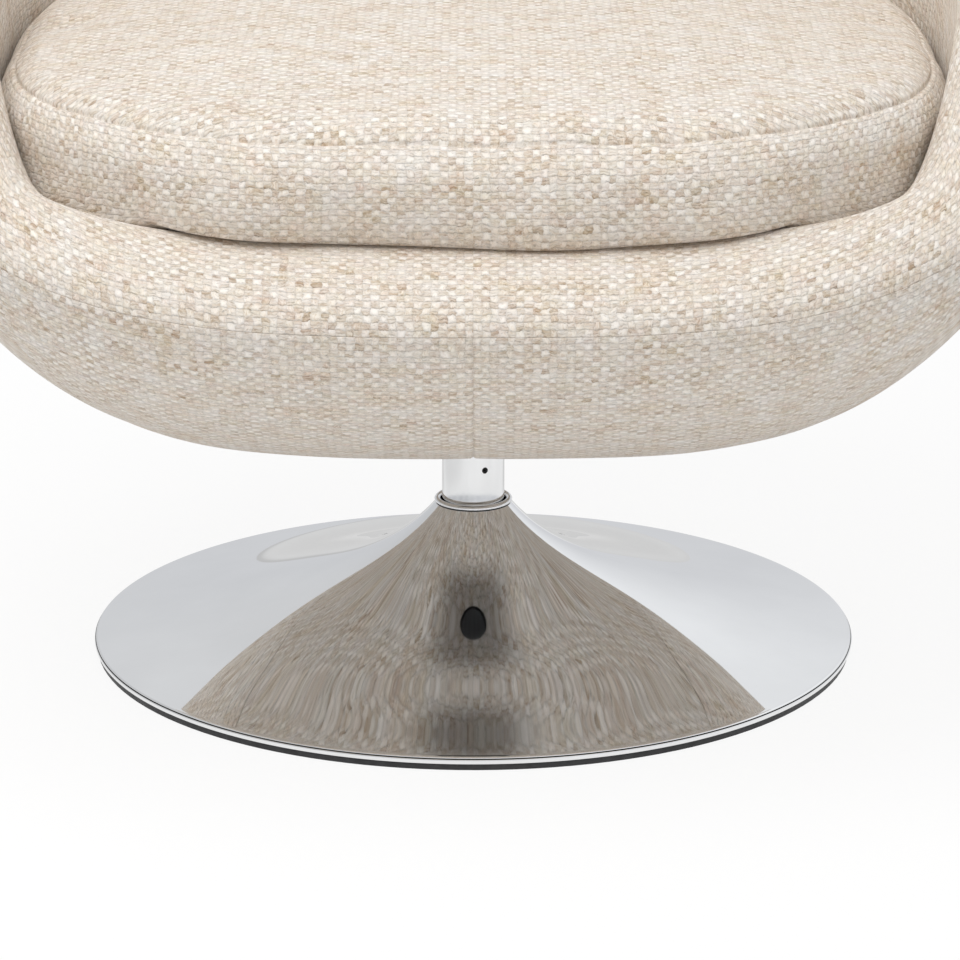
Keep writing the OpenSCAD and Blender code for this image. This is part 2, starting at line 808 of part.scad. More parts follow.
module clip_nails() {
    color([0.5, 0.5, 0.5])
        at_clips()
            translate([0, -clip_tail + 3.5, clip_t + 0.1])
                cylinder(d = 5, h = 1, $fn = 24);
}

// Felt pad over the springs, on the same arch
deck_gap = clip_t + 0.25 + soft_gap;
deck_low = wire_z + wire_d / 2 + deck_gap;
function deck_xy(u, share, inset) =
    let (p = section_pt(u, foot_s(u) + inset, 0), mid = [0, spring_mid])
    [mid.x + (p.x - mid.x) * share, mid.y + (p.y - mid.y) * share];
function deck_ring(share, inset, z) = [
    for (i = [0 : columns - 1])
        let (p = deck_xy(around(i), share, inset))
        [p.x, p.y, z + arch_z(p.y)]
];
deck_edge = 9;
module deck_pad() {
    high = deck_low + deck_t;
    color([0.85, 0.84, 0.8])
        stack(
            [
                deck_ring(0.5, deck_edge, deck_low), deck_ring(1, deck_edge, deck_low),
                deck_ring(1, 1.2, deck_low + 4), deck_ring(1, 1.2, high - 4),
                deck_ring(1, deck_edge, high), deck_ring(0.5, deck_edge, high)
            ],
            [0, spring_mid, deck_low + spring_rise],
            [0, spring_mid, high + spring_rise]
        );
}

// Foam pad with its cover: the lip or roll, the inner face, and a slot for the core's edge
function pad_section(u) =
    let (
        top = core_top(u) + 1 / outer_len(u),
        low = w_at(u, pad_z, slot_d),
        z0 = crown_z(u),
        s1 = crown_s(u) + fall_s(u),
        z1 = z0 - fall_z(u)
    )
    concat(
        [for (a = [0, 20, 40, 58, 75, 90])
            section_pt(u, crown_s(u) * (1 - cos(a)),
                rim_z(u) + soft_gap + (z0 - rim_z(u) - soft_gap) * sin(a))],
        [for (a = [35, 65])
            section_pt(u, crown_s(u) + fall_s(u) * sin(a), z0 - fall_z(u) * (1 - cos(a)))],
        [for (q = [0, 0.4, 0.75, 1])
            let (z = z1 + (pad_z - z1) * q)
            section_pt(u, face_s(u, z), z)],
        [for (q = [0, 0.25, 0.5, 0.75, 1]) inside_pt(u, low + (top - low) * q, slot_d)],
        [inside_pt(u, top, core_d)],
        [inside_pt(u, 1, core_d) + [0, 0, soft_gap]]
    );
module inside_pad() {
    color([0.87, 0.83, 0.78])
        band([for (i = [0 : columns - 1]) pad_section(around(i))], 0);
}

// Outside cover of the bowl, arms and back, from the underside up to the seam
function cover_section(u) =
    let (steps = concat(wall_w(u), [1]))
    concat(
        [for (w = steps) inside_pt(u, w, 0)],
        [for (w = reversed(steps)) inside_pt(u, w, outside_t)]
    );
module outside_cover() {
    color([0.8, 0.76, 0.71])
        band([for (i = [0 : columns - 1]) cover_section(around(i))], len(wall_steps) + 1);
}

// Seat cushion: it fills the well, laps over the front lip and is crowned on top
seat_low = deck_low + deck_t + 2 * soft_gap;
edge_z = seat_h - crown_h;
side_gap = 1.5;
function lap_z(u) = min(crown_z(u), front_h + lip_h + 8) + 0.5;
function free_s(u, z) =
    let (low = lap_z(u), q = min(1, max(0, (z - low) / (edge_z - low))))
    lip_w - 14 + (roll_w + 36 - lip_w + 14) * smooth(10, 50, folded(u))
    - 11 * (1 - smooth(10, 50, folded(u))) * sin(180 * q);
function round_s(z) =
    let (q = (z - edge_z + edge_r) / edge_r)
    q <= 0 ? 0 : edge_r * (1 - sqrt(max(0, 1 - q * q)));
function edge_s(u, z) =
    max(z < crown_z(u) + 0.8 ? face_s(u, min(z, crown_z(u))) + side_gap : 0, free_s(u, z)) + round_s(z);
function cushion_levels(u) =
    let (low = lap_z(u), lift = seat_low + 8)
    [
        [lift, 1], [(lift + low) / 2, 0], [low - 6, 0], [low, 0], [low + 0.9, 0],
        [low + 10, 0], [low + 22, 0], [edge_z - 34, 0], [edge_z - 22, 0],
        [edge_z - 11, 0], [edge_z - 4, 0], [edge_z, 0]
    ];
function cushion_ring(k) = [
    for (i = [0 : columns - 1])
        let (
            u = around(i),
            level = cushion_levels(u)[k],
            p = section_pt(u, edge_s(u, level[0]) + level[1], level[0])
        )
        [p.x, p.y, p.z + (k == 0 ? arch_z(p.y) : 0)]
];
function top_ring(share) = [
    for (i = [0 : columns - 1])
        let (
            u = around(i),
            p = section_pt(u, edge_s(u, edge_z), 0),
            y = spring_mid + (p.y - spring_mid) * share
        )
        [p.x * share, y, edge_z + crown_h * (1 - pow(share, 2.4))]
];
module seat_cushion() {
    color([0.88, 0.85, 0.8])
        stack(
            concat(
                [deck_ring(0.5, deck_edge, seat_low), deck_ring(1, deck_edge, seat_low)],
                [for (k = [0 : 11]) cushion_ring(k)],
                [for (share = [0.88, 0.66, 0.36]) top_ring(share)]
            ),
            [0, spring_mid, seat_low + spring_rise],
            [0, spring_mid, seat_h]
        );
}

// Fabric panel that closes the underside up to the column, on a batten under the core
module panel_layer(inset, h) {
    translate([0, 0, under_h + soft_gap])
        linear_extrude(h)
            polygon([for (i = [0 : columns - 1]) under_at(around(i), inset)]);
}
module under_panel() {
    panel_t = 1.5;
    batten_w = 12;
    edge_in = 2.4;
    rise = outside_t - fit_gap;
    color([0.7, 0.66, 0.6])
        difference() {
            panel_layer(edge_in, rise);
            translate([0, 0, panel_t])
                panel_layer(edge_in + batten_w, rise);
            cylinder(d = column_hole_d, h = 400, $fn = round_fn);
        }
}

floor_ring();
ballast_plate();
column_foot();
foot_bolts();
column_tube();
lower_bush();
upper_bush();
base_cover();
collar_ring();
collar_liner();
column_sleeve();
sleeve_spacer();
sleeve_screw();
lower_race();
bearing_balls();
ball_cage();
upper_race();
spindle();
spindle_washer();
retaining_ring();
plate_hub();
seat_plate();
seat_bolts();
bolt_washers();
tee_nuts();
seat_board();
tub_core();
core_screws();
bearers();
bearer_screws();
spring_frame();
seat_springs();
spring_clips();
clip_nails();
deck_pad();
inside_pad();
outside_cover();
seat_cushion();
under_panel();
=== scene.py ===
"""A swivel tub armchair: a fabric tub and a loose cushion on a spun, chromed trumpet base.

The sections follow the chair from the floor up, and the studio comes last. Lengths are in
metres. u is an angle round the tub in degrees: 0 is the front, 90 is +X and 180 is the back.
"""

import bmesh
import bpy
import numpy as np
from mathutils import Matrix, Vector


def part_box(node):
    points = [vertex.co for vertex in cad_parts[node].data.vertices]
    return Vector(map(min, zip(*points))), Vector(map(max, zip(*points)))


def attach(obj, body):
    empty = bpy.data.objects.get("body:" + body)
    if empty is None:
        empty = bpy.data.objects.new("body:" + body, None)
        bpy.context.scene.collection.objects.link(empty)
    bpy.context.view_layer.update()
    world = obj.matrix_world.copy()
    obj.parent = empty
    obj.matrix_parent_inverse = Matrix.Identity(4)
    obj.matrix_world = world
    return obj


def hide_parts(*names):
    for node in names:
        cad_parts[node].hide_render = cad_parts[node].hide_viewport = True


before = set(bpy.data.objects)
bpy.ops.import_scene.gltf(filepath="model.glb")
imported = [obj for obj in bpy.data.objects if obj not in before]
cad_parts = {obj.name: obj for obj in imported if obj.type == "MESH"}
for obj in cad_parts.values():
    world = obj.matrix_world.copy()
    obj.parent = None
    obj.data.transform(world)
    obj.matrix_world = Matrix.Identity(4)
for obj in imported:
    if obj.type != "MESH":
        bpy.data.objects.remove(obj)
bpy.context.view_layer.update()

# Floor ring: black rubber, moulded in one piece. It is pressed under the base's rolled rim,
# and the chair stands on it.


def node(tree, kind, sockets=None, **settings):
    """A shader node. sockets gives each input its value or the output that feeds it."""
    made = tree.nodes.new("ShaderNode" + kind)
    for key, value in settings.items():
        setattr(made, key, value)
    for key, value in (sockets or {}).items():
        if isinstance(value, bpy.types.NodeSocket):
            tree.links.new(value, made.inputs[key])
        else:
            made.inputs[key].default_value = value
    return made


def ranged(tree, value, start, end, low=0.0, high=1.0, kind="LINEAR"):
    """Carries a value from the range start to end over to the range low to high."""
    return node(tree, "MapRange", {
        "Value": value, "From Min": start, "From Max": end, "To Min": low, "To Max": high,
    }, interpolation_type=kind).outputs[0]


def finish_of(name, dark, light, rough, grain, relief, metallic=0.0, stretch=(1, 1, 1)):
    """A finish whose colour wavers from dark to light, its roughness over the range rough and
    its surface by relief, with a grain of that size drawn out by stretch along X, Y and Z."""
    finish = bpy.data.materials.new(name)
    finish.use_nodes = True
    tree = finish.node_tree
    shader = tree.nodes["Principled BSDF"]
    shader.inputs["Metallic"].default_value = metallic
    place = node(tree, "TexCoord").outputs["Object"]
    drawn = node(tree, "Mapping", {"Vector": place, "Scale": [1 / s for s in stretch]})
    cloud = node(tree, "TexNoise", {"Vector": drawn.outputs[0], "Scale": 1 / grain, "Detail": 5.0})
    speck = node(tree, "TexNoise", {"Vector": drawn.outputs[0], "Scale": 4 / grain, "Detail": 3.0})
    colour = node(tree, "ValToRGB", {"Fac": cloud.outputs["Fac"]})
    colour.color_ramp.elements[0].position = 0.3
    colour.color_ramp.elements[0].color = (*dark, 1)
    colour.color_ramp.elements[1].position = 0.7
    colour.color_ramp.elements[1].color = (*light, 1)
    gloss = ranged(tree, speck.outputs["Fac"], 0.3, 0.7, *rough)
    bump = node(tree, "Bump", {"Height": speck.outputs["Fac"], "Distance": relief, "Strength": 1.0})
    tree.links.new(colour.outputs["Color"], shader.inputs["Base Color"])
    tree.links.new(gloss, shader.inputs["Roughness"])
    tree.links.new(bump.outputs["Normal"], shader.inputs["Normal"])
    return finish


def dress(name, finish):
    """Gives a CAD node its finish."""
    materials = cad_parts[name].data.materials
    materials.clear()
    materials.append(finish)


rubber = finish_of("moulded_rubber", (0.018, 0.018, 0.019), (0.04, 0.04, 0.042), (0.42, 0.6), 0.006, 0.00004)
dress("floor_ring", rubber)

# Ballast plate, foot flange with its gussets, and the column tube: mild steel under a thin coat
# of black. Four zinc-plated bolts hold the flange to the plate.

blackened = finish_of(
    "blackened_steel", (0.03, 0.03, 0.033), (0.07, 0.07, 0.075), (0.4, 0.6), 0.02, 0.00003, 0.6
)
zinc = finish_of("zinc_plate", (0.5, 0.51, 0.53), (0.66, 0.67, 0.68), (0.28, 0.42), 0.008, 0.00002, 1.0)
for name in ("ballast_plate", "column_foot", "column_tube"):
    dress(name, blackened)
for name in ("foot_bolts", "bolt_washers", "spindle_washer"):
    dress(name, zinc)

# Base cover: steel spun over a former to a trumpet, with a rolled rim, then polished and
# chromed to a mirror. A fine groove runs round the rolled rim, where the sheet meets itself,
# and painted shade darkens the chrome's colour there to a dark line.


def grid_piece(name, grid, finish, cloth=None, tube=True):
    """A piece on a grid of points, [column, place, xyz]. Columns run anticlockwise seen from
    above and close on themselves; places run up the outside, and close as well if tube. cloth
    gives the cloth's own coordinates at each face's corners, [column, place, corner, 2]."""
    n, m = grid.shape[:2]
    i, j = np.meshgrid(np.arange(n), np.arange(m if tube else m - 1), indexing="ij")
    right, above = (i + 1) % n, (j + 1) % m
    faces = np.stack([i * m + j, right * m + j, right * m + above, i * m + above], axis=-1)
    mesh = bpy.data.meshes.new(name)
    mesh.from_pydata(grid.reshape(-1, 3).tolist(), [], faces.reshape(-1, 4).tolist())
    mesh.shade_smooth()
    mesh.materials.append(finish)
    if cloth is not None:
        mesh.uv_layers.new(name="cloth").data.foreach_set("uv", cloth.astype(np.float32).ravel())
    piece = bpy.data.objects.new(name, mesh)
    bpy.context.scene.collection.objects.link(piece)
    return piece


def turned(name, profile, finish, columns):
    """A closed profile of radius and height turned round +Z:
    x = radius sin a, y = -radius cos a, z = height."""
    a = np.linspace(0, 2 * np.pi, columns, endpoint=False)[:, None]
    radius, height = profile[None, :, 0], profile[None, :, 1]
    grid = np.stack([radius * np.sin(a), -radius * np.cos(a), height + 0 * a], axis=-1)
    return grid_piece(name, grid, finish)


def arc(middle, radius, start, end, count):
    """Points on a circle from the angle start to end, in degrees, in the profile's plane."""
    t = np.radians(np.linspace(start, end, count))
    return np.stack([middle[0] + radius * np.cos(t), middle[1] + radius * np.sin(t)], axis=-1)


def recoloured(finish, share, colour, blend="MIX"):
    """Mixes a colour into the one that a finish already has."""
    tree = finish.node_tree
    base = tree.nodes["Principled BSDF"].inputs["Base Color"]
    made = node(tree, "Mix", {0: share, 6: base.links[0].from_socket, 7: colour},
                data_type="RGBA", blend_type=blend)
    tree.links.new(made.outputs[2], base)


BASE_R = 0.26
BEAD = 0.0027
WALL = 0.0015
RIM_FLANGE = 0.0025
BEAD_TURN = (-90, 83, 88)
GROOVE_AT, GROOVE_W, GROOVE_D = 36, 9, 0.0006
RIM_SLOPE, NECK_SLOPE, FLARE = 7.9, 43.0, 0.0589
SHOULDER_SLOPE, SHOULDER_R, SHOULDER_W = 4.2, 0.164, 0.05
NECK_GAP = 0.0048
NECK_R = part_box("column_sleeve")[1].x + NECK_GAP
RIM_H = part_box("base_cover")[0].z + 2 * BEAD
FLARE_END = BASE_R - BEAD
COVER_COLUMNS = 480


def flare(radius):
    """Slope of the trumpet in degrees: an exponential fall from the neck, and a bell curve for
    the straighter part half way out."""
    shoulder = SHOULDER_SLOPE * np.exp(-(((radius - SHOULDER_R) / SHOULDER_W) ** 2))
    return RIM_SLOPE + NECK_SLOPE * np.exp(-(radius - NECK_R) / FLARE) + shoulder


def flare_profile(count, wall):
    """The trumpet from the rim in to the neck: each height is the rim's plus the sum of the
    slope's tangent times the step in radius. wall moves the points in square to the slope."""
    share = np.linspace(1, 0, count) ** 1.6
    radius = NECK_R + (FLARE_END - NECK_R) * share
    tilt = np.radians(flare(radius))
    rise = np.tan(tilt)
    steps = -(np.diff(radius)) * (rise[1:] + rise[:-1]) / 2
    height = RIM_H + np.concatenate([[0], np.cumsum(steps)])
    return np.stack([radius - wall * np.sin(tilt), height - wall * np.cos(tilt)], axis=-1)


outer_wall = flare_profile(220, 0)
inner_wall = flare_profile(60, WALL)[::-1]
NECK_H = outer_wall[-1, 1]
groove = np.exp(-(((np.linspace(*BEAD_TURN) - GROOVE_AT) / GROOVE_W) ** 2))
rim_bead = (FLARE_END, RIM_H - BEAD) + arc((0, 0), 1, *BEAD_TURN) * (BEAD - GROOVE_D * groove)[:, None]
cover_profile = np.concatenate([
    [[FLARE_END - RIM_FLANGE, RIM_H - 2 * BEAD]],
    rim_bead,
    outer_wall,
    inner_wall[inner_wall[:, 0] < FLARE_END - RIM_FLANGE],
    [[FLARE_END - RIM_FLANGE, RIM_H - WALL]],
])

chrome = finish_of("mirror_chrome", (0.86, 0.865, 0.87), (0.9, 0.905, 0.91), (0.012, 0.03), 0.05, 0.0, 1.0)
# Painted shade: the chrome's colour goes near black where the groove attribute is set.
groove_painted_shade = node(chrome.node_tree, "Attribute", attribute_name="groove").outputs["Fac"]
recoloured(chrome, groove_painted_shade, (0.05, 0.05, 0.045, 1))
base_cover = turned("base_cover_spun", cover_profile, chrome, COVER_COLUMNS)
groove_shade_mask = np.zeros(len(cover_profile))
groove_shade_mask[1:1 + len(groove)] = groove > 0.3
groove_shade_marks = base_cover.data.attributes.new("groove", "FLOAT", "POINT")
groove_shade_marks.data.foreach_set("value", np.tile(groove_shade_mask, COVER_COLUMNS))
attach(base_cover, "base")
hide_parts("base_cover")

# Collar ring: a half-round steel bead with a thin skirt, pushed into the neck. A black plastic
# liner inside it centres the sleeve.

BEAD_R, BEAD_H = 0.0024, 0.0031
RING_IN, RING_UP = 0.0016, 0.0007
LINER_T = 0.0016
SKIRT_T, SKIRT_LENGTH = 0.0012, 0.013
sleeve_r = round(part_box("column_sleeve")[1].x, 4)
ring_r, ring_z = NECK_R - RING_IN, NECK_H + RING_UP
skirt_in, skirt_low = sleeve_r + LINER_T, NECK_H - SKIRT_LENGTH
half_round = arc((0, 0), 1, 28, 165, 40) * [BEAD_R, BEAD_H] + (ring_r, ring_z)
ring_profile = np.concatenate([
    [[skirt_in, skirt_low], [skirt_in + SKIRT_T, skirt_low]],
    [[skirt_in + SKIRT_T, ring_z], [ring_r + 0.8 * BEAD_R, ring_z + 0.0004]],
    half_round,
    [[skirt_in, half_round[-1, 1] - SKIRT_T / 2]],
])
trim_chrome = finish_of("trim_chrome", (0.78, 0.785, 0.79), (0.86, 0.865, 0.87), (0.03, 0.06), 0.03, 0.0, 1.0)
collar_ring = turned("collar_ring_bead", ring_profile, trim_chrome, 256)
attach(collar_ring, "base")
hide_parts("collar_ring")

black_plastic = finish_of(
    "black_plastic", (0.01, 0.01, 0.01), (0.022, 0.022, 0.023), (0.4, 0.55), 0.005, 0.00003
)
for name in ("collar_liner", "sleeve_spacer"):
    dress(name, black_plastic)

# Column sleeve: a drawn steel tube, chromed and lightly brushed, slid over the column. One
# small hole lets a set screw through to the tube inside.


def settled(piece):
    """Replaces the piece's mesh by the one its modifiers make, and drops them."""
    made = bpy.data.meshes.new_from_object(piece.evaluated_get(bpy.context.evaluated_depsgraph_get()))
    made.name = piece.name
    piece.modifiers.clear()
    piece.data = made
    return piece


sleeve_low, sleeve_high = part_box("column_sleeve")
SLEEVE_WALL = 0.002
EDGE = 0.0004
HOLE_H = 0.126
HOLE_R = 0.0021
HOLE_TURN = np.radians(22)
HOLE_ROW = 0.0006
by_hole = HOLE_H + HOLE_ROW * np.arange(-8, 9)[:, None]
tube_profile = np.concatenate([
    arc((sleeve_r - SLEEVE_WALL + EDGE, sleeve_low.z + EDGE), EDGE, 180, 270, 4),
    arc((sleeve_r - EDGE, sleeve_low.z + EDGE), EDGE, 270, 360, 4),
    np.concatenate([0 * by_hole + sleeve_r, by_hole], axis=1),
    arc((sleeve_r - EDGE, sleeve_high.z - EDGE), EDGE, 0, 90, 4),
    arc((sleeve_r - SLEEVE_WALL + EDGE, sleeve_high.z - EDGE), EDGE, 90, 180, 4),
    np.concatenate([0 * by_hole + sleeve_r - SLEEVE_WALL, by_hole[::-1]], axis=1),
])
sleeve_chrome = finish_of(
    "sleeve_chrome", (0.84, 0.845, 0.85), (0.9, 0.905, 0.91), (0.06, 0.12), 0.01, 0.000004, 1.0, (1, 1, 6)
)
sleeve = turned("column_sleeve_tube", tube_profile, sleeve_chrome, 256)
drill = bpy.data.objects.new("drill", bpy.data.meshes.new("drill"))
bpy.context.scene.collection.objects.link(drill)
drilled = bmesh.new()
across = Matrix.Rotation(HOLE_TURN, 4, "Z") @ Matrix.Translation((0, -sleeve_r, HOLE_H))
bmesh.ops.create_cone(
    drilled, cap_ends=True, segments=48, radius1=HOLE_R, radius2=HOLE_R, depth=4 * SLEEVE_WALL,
    matrix=across @ Matrix.Rotation(np.pi / 2, 4, "X"),
)
drilled.to_mesh(drill.data)
drilled.free()
cut = sleeve.modifiers.new("set_screw_hole", "BOOLEAN")
cut.object = drill
cut.solver = "EXACT"
settled(sleeve)
bpy.data.objects.remove(drill)
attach(sleeve, "base")
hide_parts("column_sleeve")
blackened_screw = finish_of(
    "blackened_screw", (0.01, 0.01, 0.01), (0.03, 0.03, 0.03), (0.4, 0.6), 0.003, 0.00002, 0.5
)
dress("sleeve_screw", blackened_screw)

# Swivel: a ground spindle in two bronze bushes, a ball thrust bearing with a brass cage, and a
# snap ring below. The hub is welded to the seat plate and both are enamelled dark grey.

bronze = finish_of("sintered_bronze", (0.36, 0.25, 0.13), (0.5, 0.36, 0.2), (0.35, 0.5), 0.002, 0.00002, 1.0)
bearing = finish_of("bearing_steel", (0.6, 0.6, 0.62), (0.72, 0.72, 0.74), (0.08, 0.16), 0.01, 0.000005, 1.0)
brass = finish_of("cage_brass", (0.6, 0.44, 0.17), (0.74, 0.56, 0.24), (0.22, 0.34), 0.006, 0.00001, 1.0)
ground = finish_of(
    "ground_steel", (0.5, 0.5, 0.52), (0.64, 0.64, 0.66), (0.16, 0.28), 0.004, 0.00001, 1.0, (1, 1, 0.2)
)
enamel = finish_of("grey_enamel", (0.12, 0.12, 0.125), (0.16, 0.16, 0.165), (0.3, 0.5), 0.004, 0.00004)
for name in ("lower_bush", "upper_bush"):
    dress(name, bronze)
for name in ("lower_race", "upper_race", "bearing_balls"):
    dress(name, bearing)
dress("ball_cage", brass)
dress("spindle", ground)
dress("retaining_ring", blackened)
for name in ("plate_hub", "seat_plate", "seat_bolts"):
    dress(name, enamel)
dress("tee_nuts", zinc)

# Tub frame: a plywood board, a moulded plywood core and a plywood spring frame, with two beech
# bearers. Yellow-zinc screws hold them together.


def timber(name, dark, light, grain, along):
    """Wood: fine rings across the grain, drawn out along one axis, over a slow change of tone."""
    finish = finish_of(name, dark, light, (0.5, 0.68), grain, 0.00006, 0.0, along)
    tree = finish.node_tree
    place = next(n for n in tree.nodes if n.bl_idname == "ShaderNodeMapping").outputs[0]
    rings = node(tree, "TexWave", {"Vector": place, "Scale": 0.6 / grain, "Distortion": 5.0, "Detail": 3.0},
                 bands_direction="Z")
    recoloured(finish, 0.35, rings.outputs["Color"], "MULTIPLY")
    return finish


plywood = timber("birch_plywood", (0.42, 0.27, 0.14), (0.58, 0.4, 0.22), 0.01, (9, 2, 1))
beech = timber("beech", (0.46, 0.27, 0.14), (0.6, 0.38, 0.21), 0.008, (2, 12, 1))
yellow_zinc = finish_of("yellow_zinc", (0.5, 0.4, 0.18), (0.66, 0.56, 0.3), (0.3, 0.45), 0.003, 0.00002, 1.0)
for name in ("seat_board", "tub_core", "spring_frame"):
    dress(name, plywood)
dress("bearers", beech)
for name in ("core_screws", "bearer_screws"):
    dress(name, yellow_zinc)

# Springs: four sinuous springs of tempered wire in folded steel clips, which are nailed to the
# spring frame.

wire = finish_of("tempered_wire", (0.16, 0.16, 0.17), (0.28, 0.28, 0.3), (0.3, 0.48), 0.004, 0.00002, 1.0)
for name in ("seat_springs", "spring_clips", "clip_nails"):
    dress(name, wire)

# The tub's shape: a flat underside, a bowl up to the belt, then a wall up to the outer seam.
# In plan each level is a superellipse, and the seam rises from the front over the arms.

tub_low, tub_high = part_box("outside_cover")
HALF_W = round(tub_high.x, 4)
DEPTH = round(tub_high.y, 4)
BELT_BACK = 0.374
PLAN_POWER = 2.7
UNDER_H = round(tub_low.z, 4)
UNDER_HALF_W = 0.196
UNDER_FRONT = 0.151
UNDER_BACK = 0.29
UNDER_POWER = 3.35
BOWL_POWER = 1.53
BOWL_ARC = 1.1
FRONT_H = 0.318
SIDE_RISE, SIDE_AT, SIDE_POWER = 0.029, 0.3, 3.76
ARM_H = 0.535
ARM_FROM, ARM_TO = 45, 98
BACK_FROM = 94
BACK_H = round(tub_high.z, 4)
PANEL_APART = 0.31


def smooth(a, b, x):
    """0 before a, 1 after b, and 3 t squared less 2 t cubed between them."""
    t = np.clip((x - a) / (b - a), 0, 1)
    return t * t * (3 - 2 * t)


def power(x, p):
    """The size of x to the power p, with the sign of x."""
    return np.sign(x) * np.abs(x) ** p


def folded(u):
    """The angle from the front, on either side."""
    return np.abs((np.asarray(u, float) + 180) % 360 - 180)


def plan(u, half_w, front, back, n):
    """A superellipse: x = half_w sin(u)^(2/n), y = -front or back times cos(u)^(2/n)."""
    c = np.cos(np.radians(u))
    y = np.where(c > 0, -front * np.abs(c) ** (2 / n), back * np.abs(c) ** (2 / n))
    return np.stack([half_w * power(np.sin(np.radians(u)), 2 / n), y], axis=-1)


def under_xy(u, inset=0.0):
    """Plan of the flat underside."""
    return plan(u, UNDER_HALF_W - inset, UNDER_FRONT - inset, UNDER_BACK - inset, UNDER_POWER)


def rim_xy(u):
    """Plan of the outer seam."""
    return plan(u, HALF_W, DEPTH, DEPTH, PLAN_POWER)


def belt_z(u):
    """Height of the bowl's top: the front's, and a rise that grows as a power of x."""
    x = HALF_W * np.sin(np.radians(np.minimum(folded(u), 90))) ** (2 / PLAN_POWER)
    return FRONT_H + SIDE_RISE * (x / SIDE_AT) ** SIDE_POWER


def on_arm(u):
    """0 before the arms and 1 from there on, with a smooth step."""
    return smooth(ARM_FROM, ARM_TO, folded(u))


def rim_z(u):
    """Height of the outer seam: a smooth step up to the arms, then one up to the back, which
    starts as the power 2.2 of the way and ends as its rest to the power 1.5."""
    climb = np.clip((folded(u) - BACK_FROM) / (180 - BACK_FROM), 0, 1)
    swept = 1 - (1 - climb**2.2) ** 1.5
    return belt_z(u) + (ARM_H - belt_z(90)) * on_arm(u) + (BACK_H - ARM_H) * swept


def rim_out(u):
    """Direction in plan square to the outer seam: the slope of the superellipse's equation."""
    p = rim_xy(u)
    slope = power(p / [HALF_W, DEPTH], PLAN_POWER - 1) / [HALF_W, DEPTH]
    return slope / np.linalg.norm(slope, axis=-1, keepdims=True)


def outer_point(u, w):
    """The tub's outside at w from 0, the underside's edge, to 1, the seam. The bowl goes out as
    sin(v) and up as 1 - cos(v), each to the power 2 / BOWL_POWER; above it the wall is straight."""
    low = np.concatenate([under_xy(u), np.full(np.shape(u) + (1,), UNDER_H)], axis=-1)
    belt = np.concatenate([plan(u, HALF_W, DEPTH, BELT_BACK, PLAN_POWER), belt_z(u)[..., None]], axis=-1)
    rim = np.concatenate([rim_xy(u), rim_z(u)[..., None]], axis=-1)
    bowl_len = BOWL_ARC * np.linalg.norm(belt - low, axis=-1)
    share = bowl_len / (bowl_len + np.linalg.norm(rim - belt, axis=-1))
    v = np.pi / 2 * np.clip(w / share, 0, 1)
    out, up = np.sin(v) ** (2 / BOWL_POWER), 1 - np.clip(np.cos(v), 0, 1) ** (2 / BOWL_POWER)
    bowl = low + (belt - low) * np.stack([out, out, up], axis=-1)
    climb = np.clip((w - share) / np.maximum(1 - share, 1e-6), 0, 1)[..., None]
    return np.where((w <= share)[..., None], bowl, belt + (rim - belt) * climb)


def inside_point(u, w, depth):
    """The point that lies depth inside the outer surface, square to its section."""
    e = 0.004
    step = outer_point(u, np.minimum(1, w + e)) - outer_point(u, np.maximum(0, w - e))
    out = plan(u, HALF_W, DEPTH, BELT_BACK, PLAN_POWER) - under_xy(u)
    out = out / np.linalg.norm(out, axis=-1, keepdims=True)
    run = (step[..., :2] * out).sum(axis=-1)
    size = np.hypot(run, step[..., 2])
    p = outer_point(u, w)
    moved = p[..., :2] - (depth * step[..., 2] / size)[..., None] * out
    return np.concatenate([moved, (p[..., 2] + depth * run / size)[..., None]], axis=-1)


def even_angles(step, seams, close):
    """Angles at equal steps along the outer seam, with extra ones at the distances close on
    each side of the angles seams. The length along the seam is a running sum of its chords,
    which a sine of 4u makes short where the plan's power crowds them."""
    u = np.degrees(np.linspace(0, 2 * np.pi, 40001))
    u = u - 10 * np.sin(np.radians(4 * u))
    length = np.concatenate([[0], np.cumsum(np.linalg.norm(np.diff(rim_xy(u), axis=0), axis=1))])
    places = np.linspace(0, length[-1], int(length[-1] / step), endpoint=False)
    at = np.interp(np.asarray(seams, float), u, length)
    near = (at[:, None] + np.concatenate([-np.asarray(close), [0], close])[None, :]).ravel() % length[-1]
    gap = np.abs((places[:, None] - near[None, :] + length[-1] / 2) % length[-1] - length[-1] / 2).min(axis=1)
    return np.interp(np.sort(np.concatenate([places[gap > 0.35 * step], near])), length, u)


def laid_cloth(grid, angles, panels, seam_row):
    """The cloth's own coordinates on a grid. Across is the length along each row from the
    middle of the face's panel, and down is the length along each column from the row of the
    outer seam. panels lists each panel's first, middle and last angle, and each is cut from
    the cloth PANEL_APART on from the one before it."""
    n, m = grid.shape[:2]
    closed = np.concatenate([grid, grid[:1]])
    closed = np.concatenate([closed, closed[:, :1]], axis=1)
    run = np.linalg.norm(np.diff(closed, axis=0), axis=-1)
    run = np.concatenate([np.zeros((1, m + 1)), np.cumsum(run, axis=0)])
    fall = np.linalg.norm(np.diff(closed, axis=1), axis=-1)
    fall = np.concatenate([np.zeros((n + 1, 1)), np.cumsum(fall, axis=1)], axis=1)
    fall = fall - fall[:, seam_row:seam_row + 1]
    turns = np.concatenate([angles, [360.0 + angles[0]]])
    middles = (turns[1:] + turns[:-1]) / 2
    across = np.zeros((n, m + 1, 2))
    for k, (first, middle, last) in enumerate(panels):
        mine = (middles > first) & (middles <= last)
        start = run[np.abs(turns - middle).argmin()]
        across[mine, :, 0] = run[:-1][mine] - start + PANEL_APART * k
        across[mine, :, 1] = run[1:][mine] - start + PANEL_APART * k
    left, right = across[:, :, 0], across[:, :, 1]
    corners = [(left[:, :-1], fall[:-1, :-1]), (right[:, :-1], fall[1:, :-1]),
               (right[:, 1:], fall[1:, 1:]), (left[:, 1:], fall[:-1, 1:])]
    return np.stack([np.stack(c, axis=-1) for c in corners], axis=2)


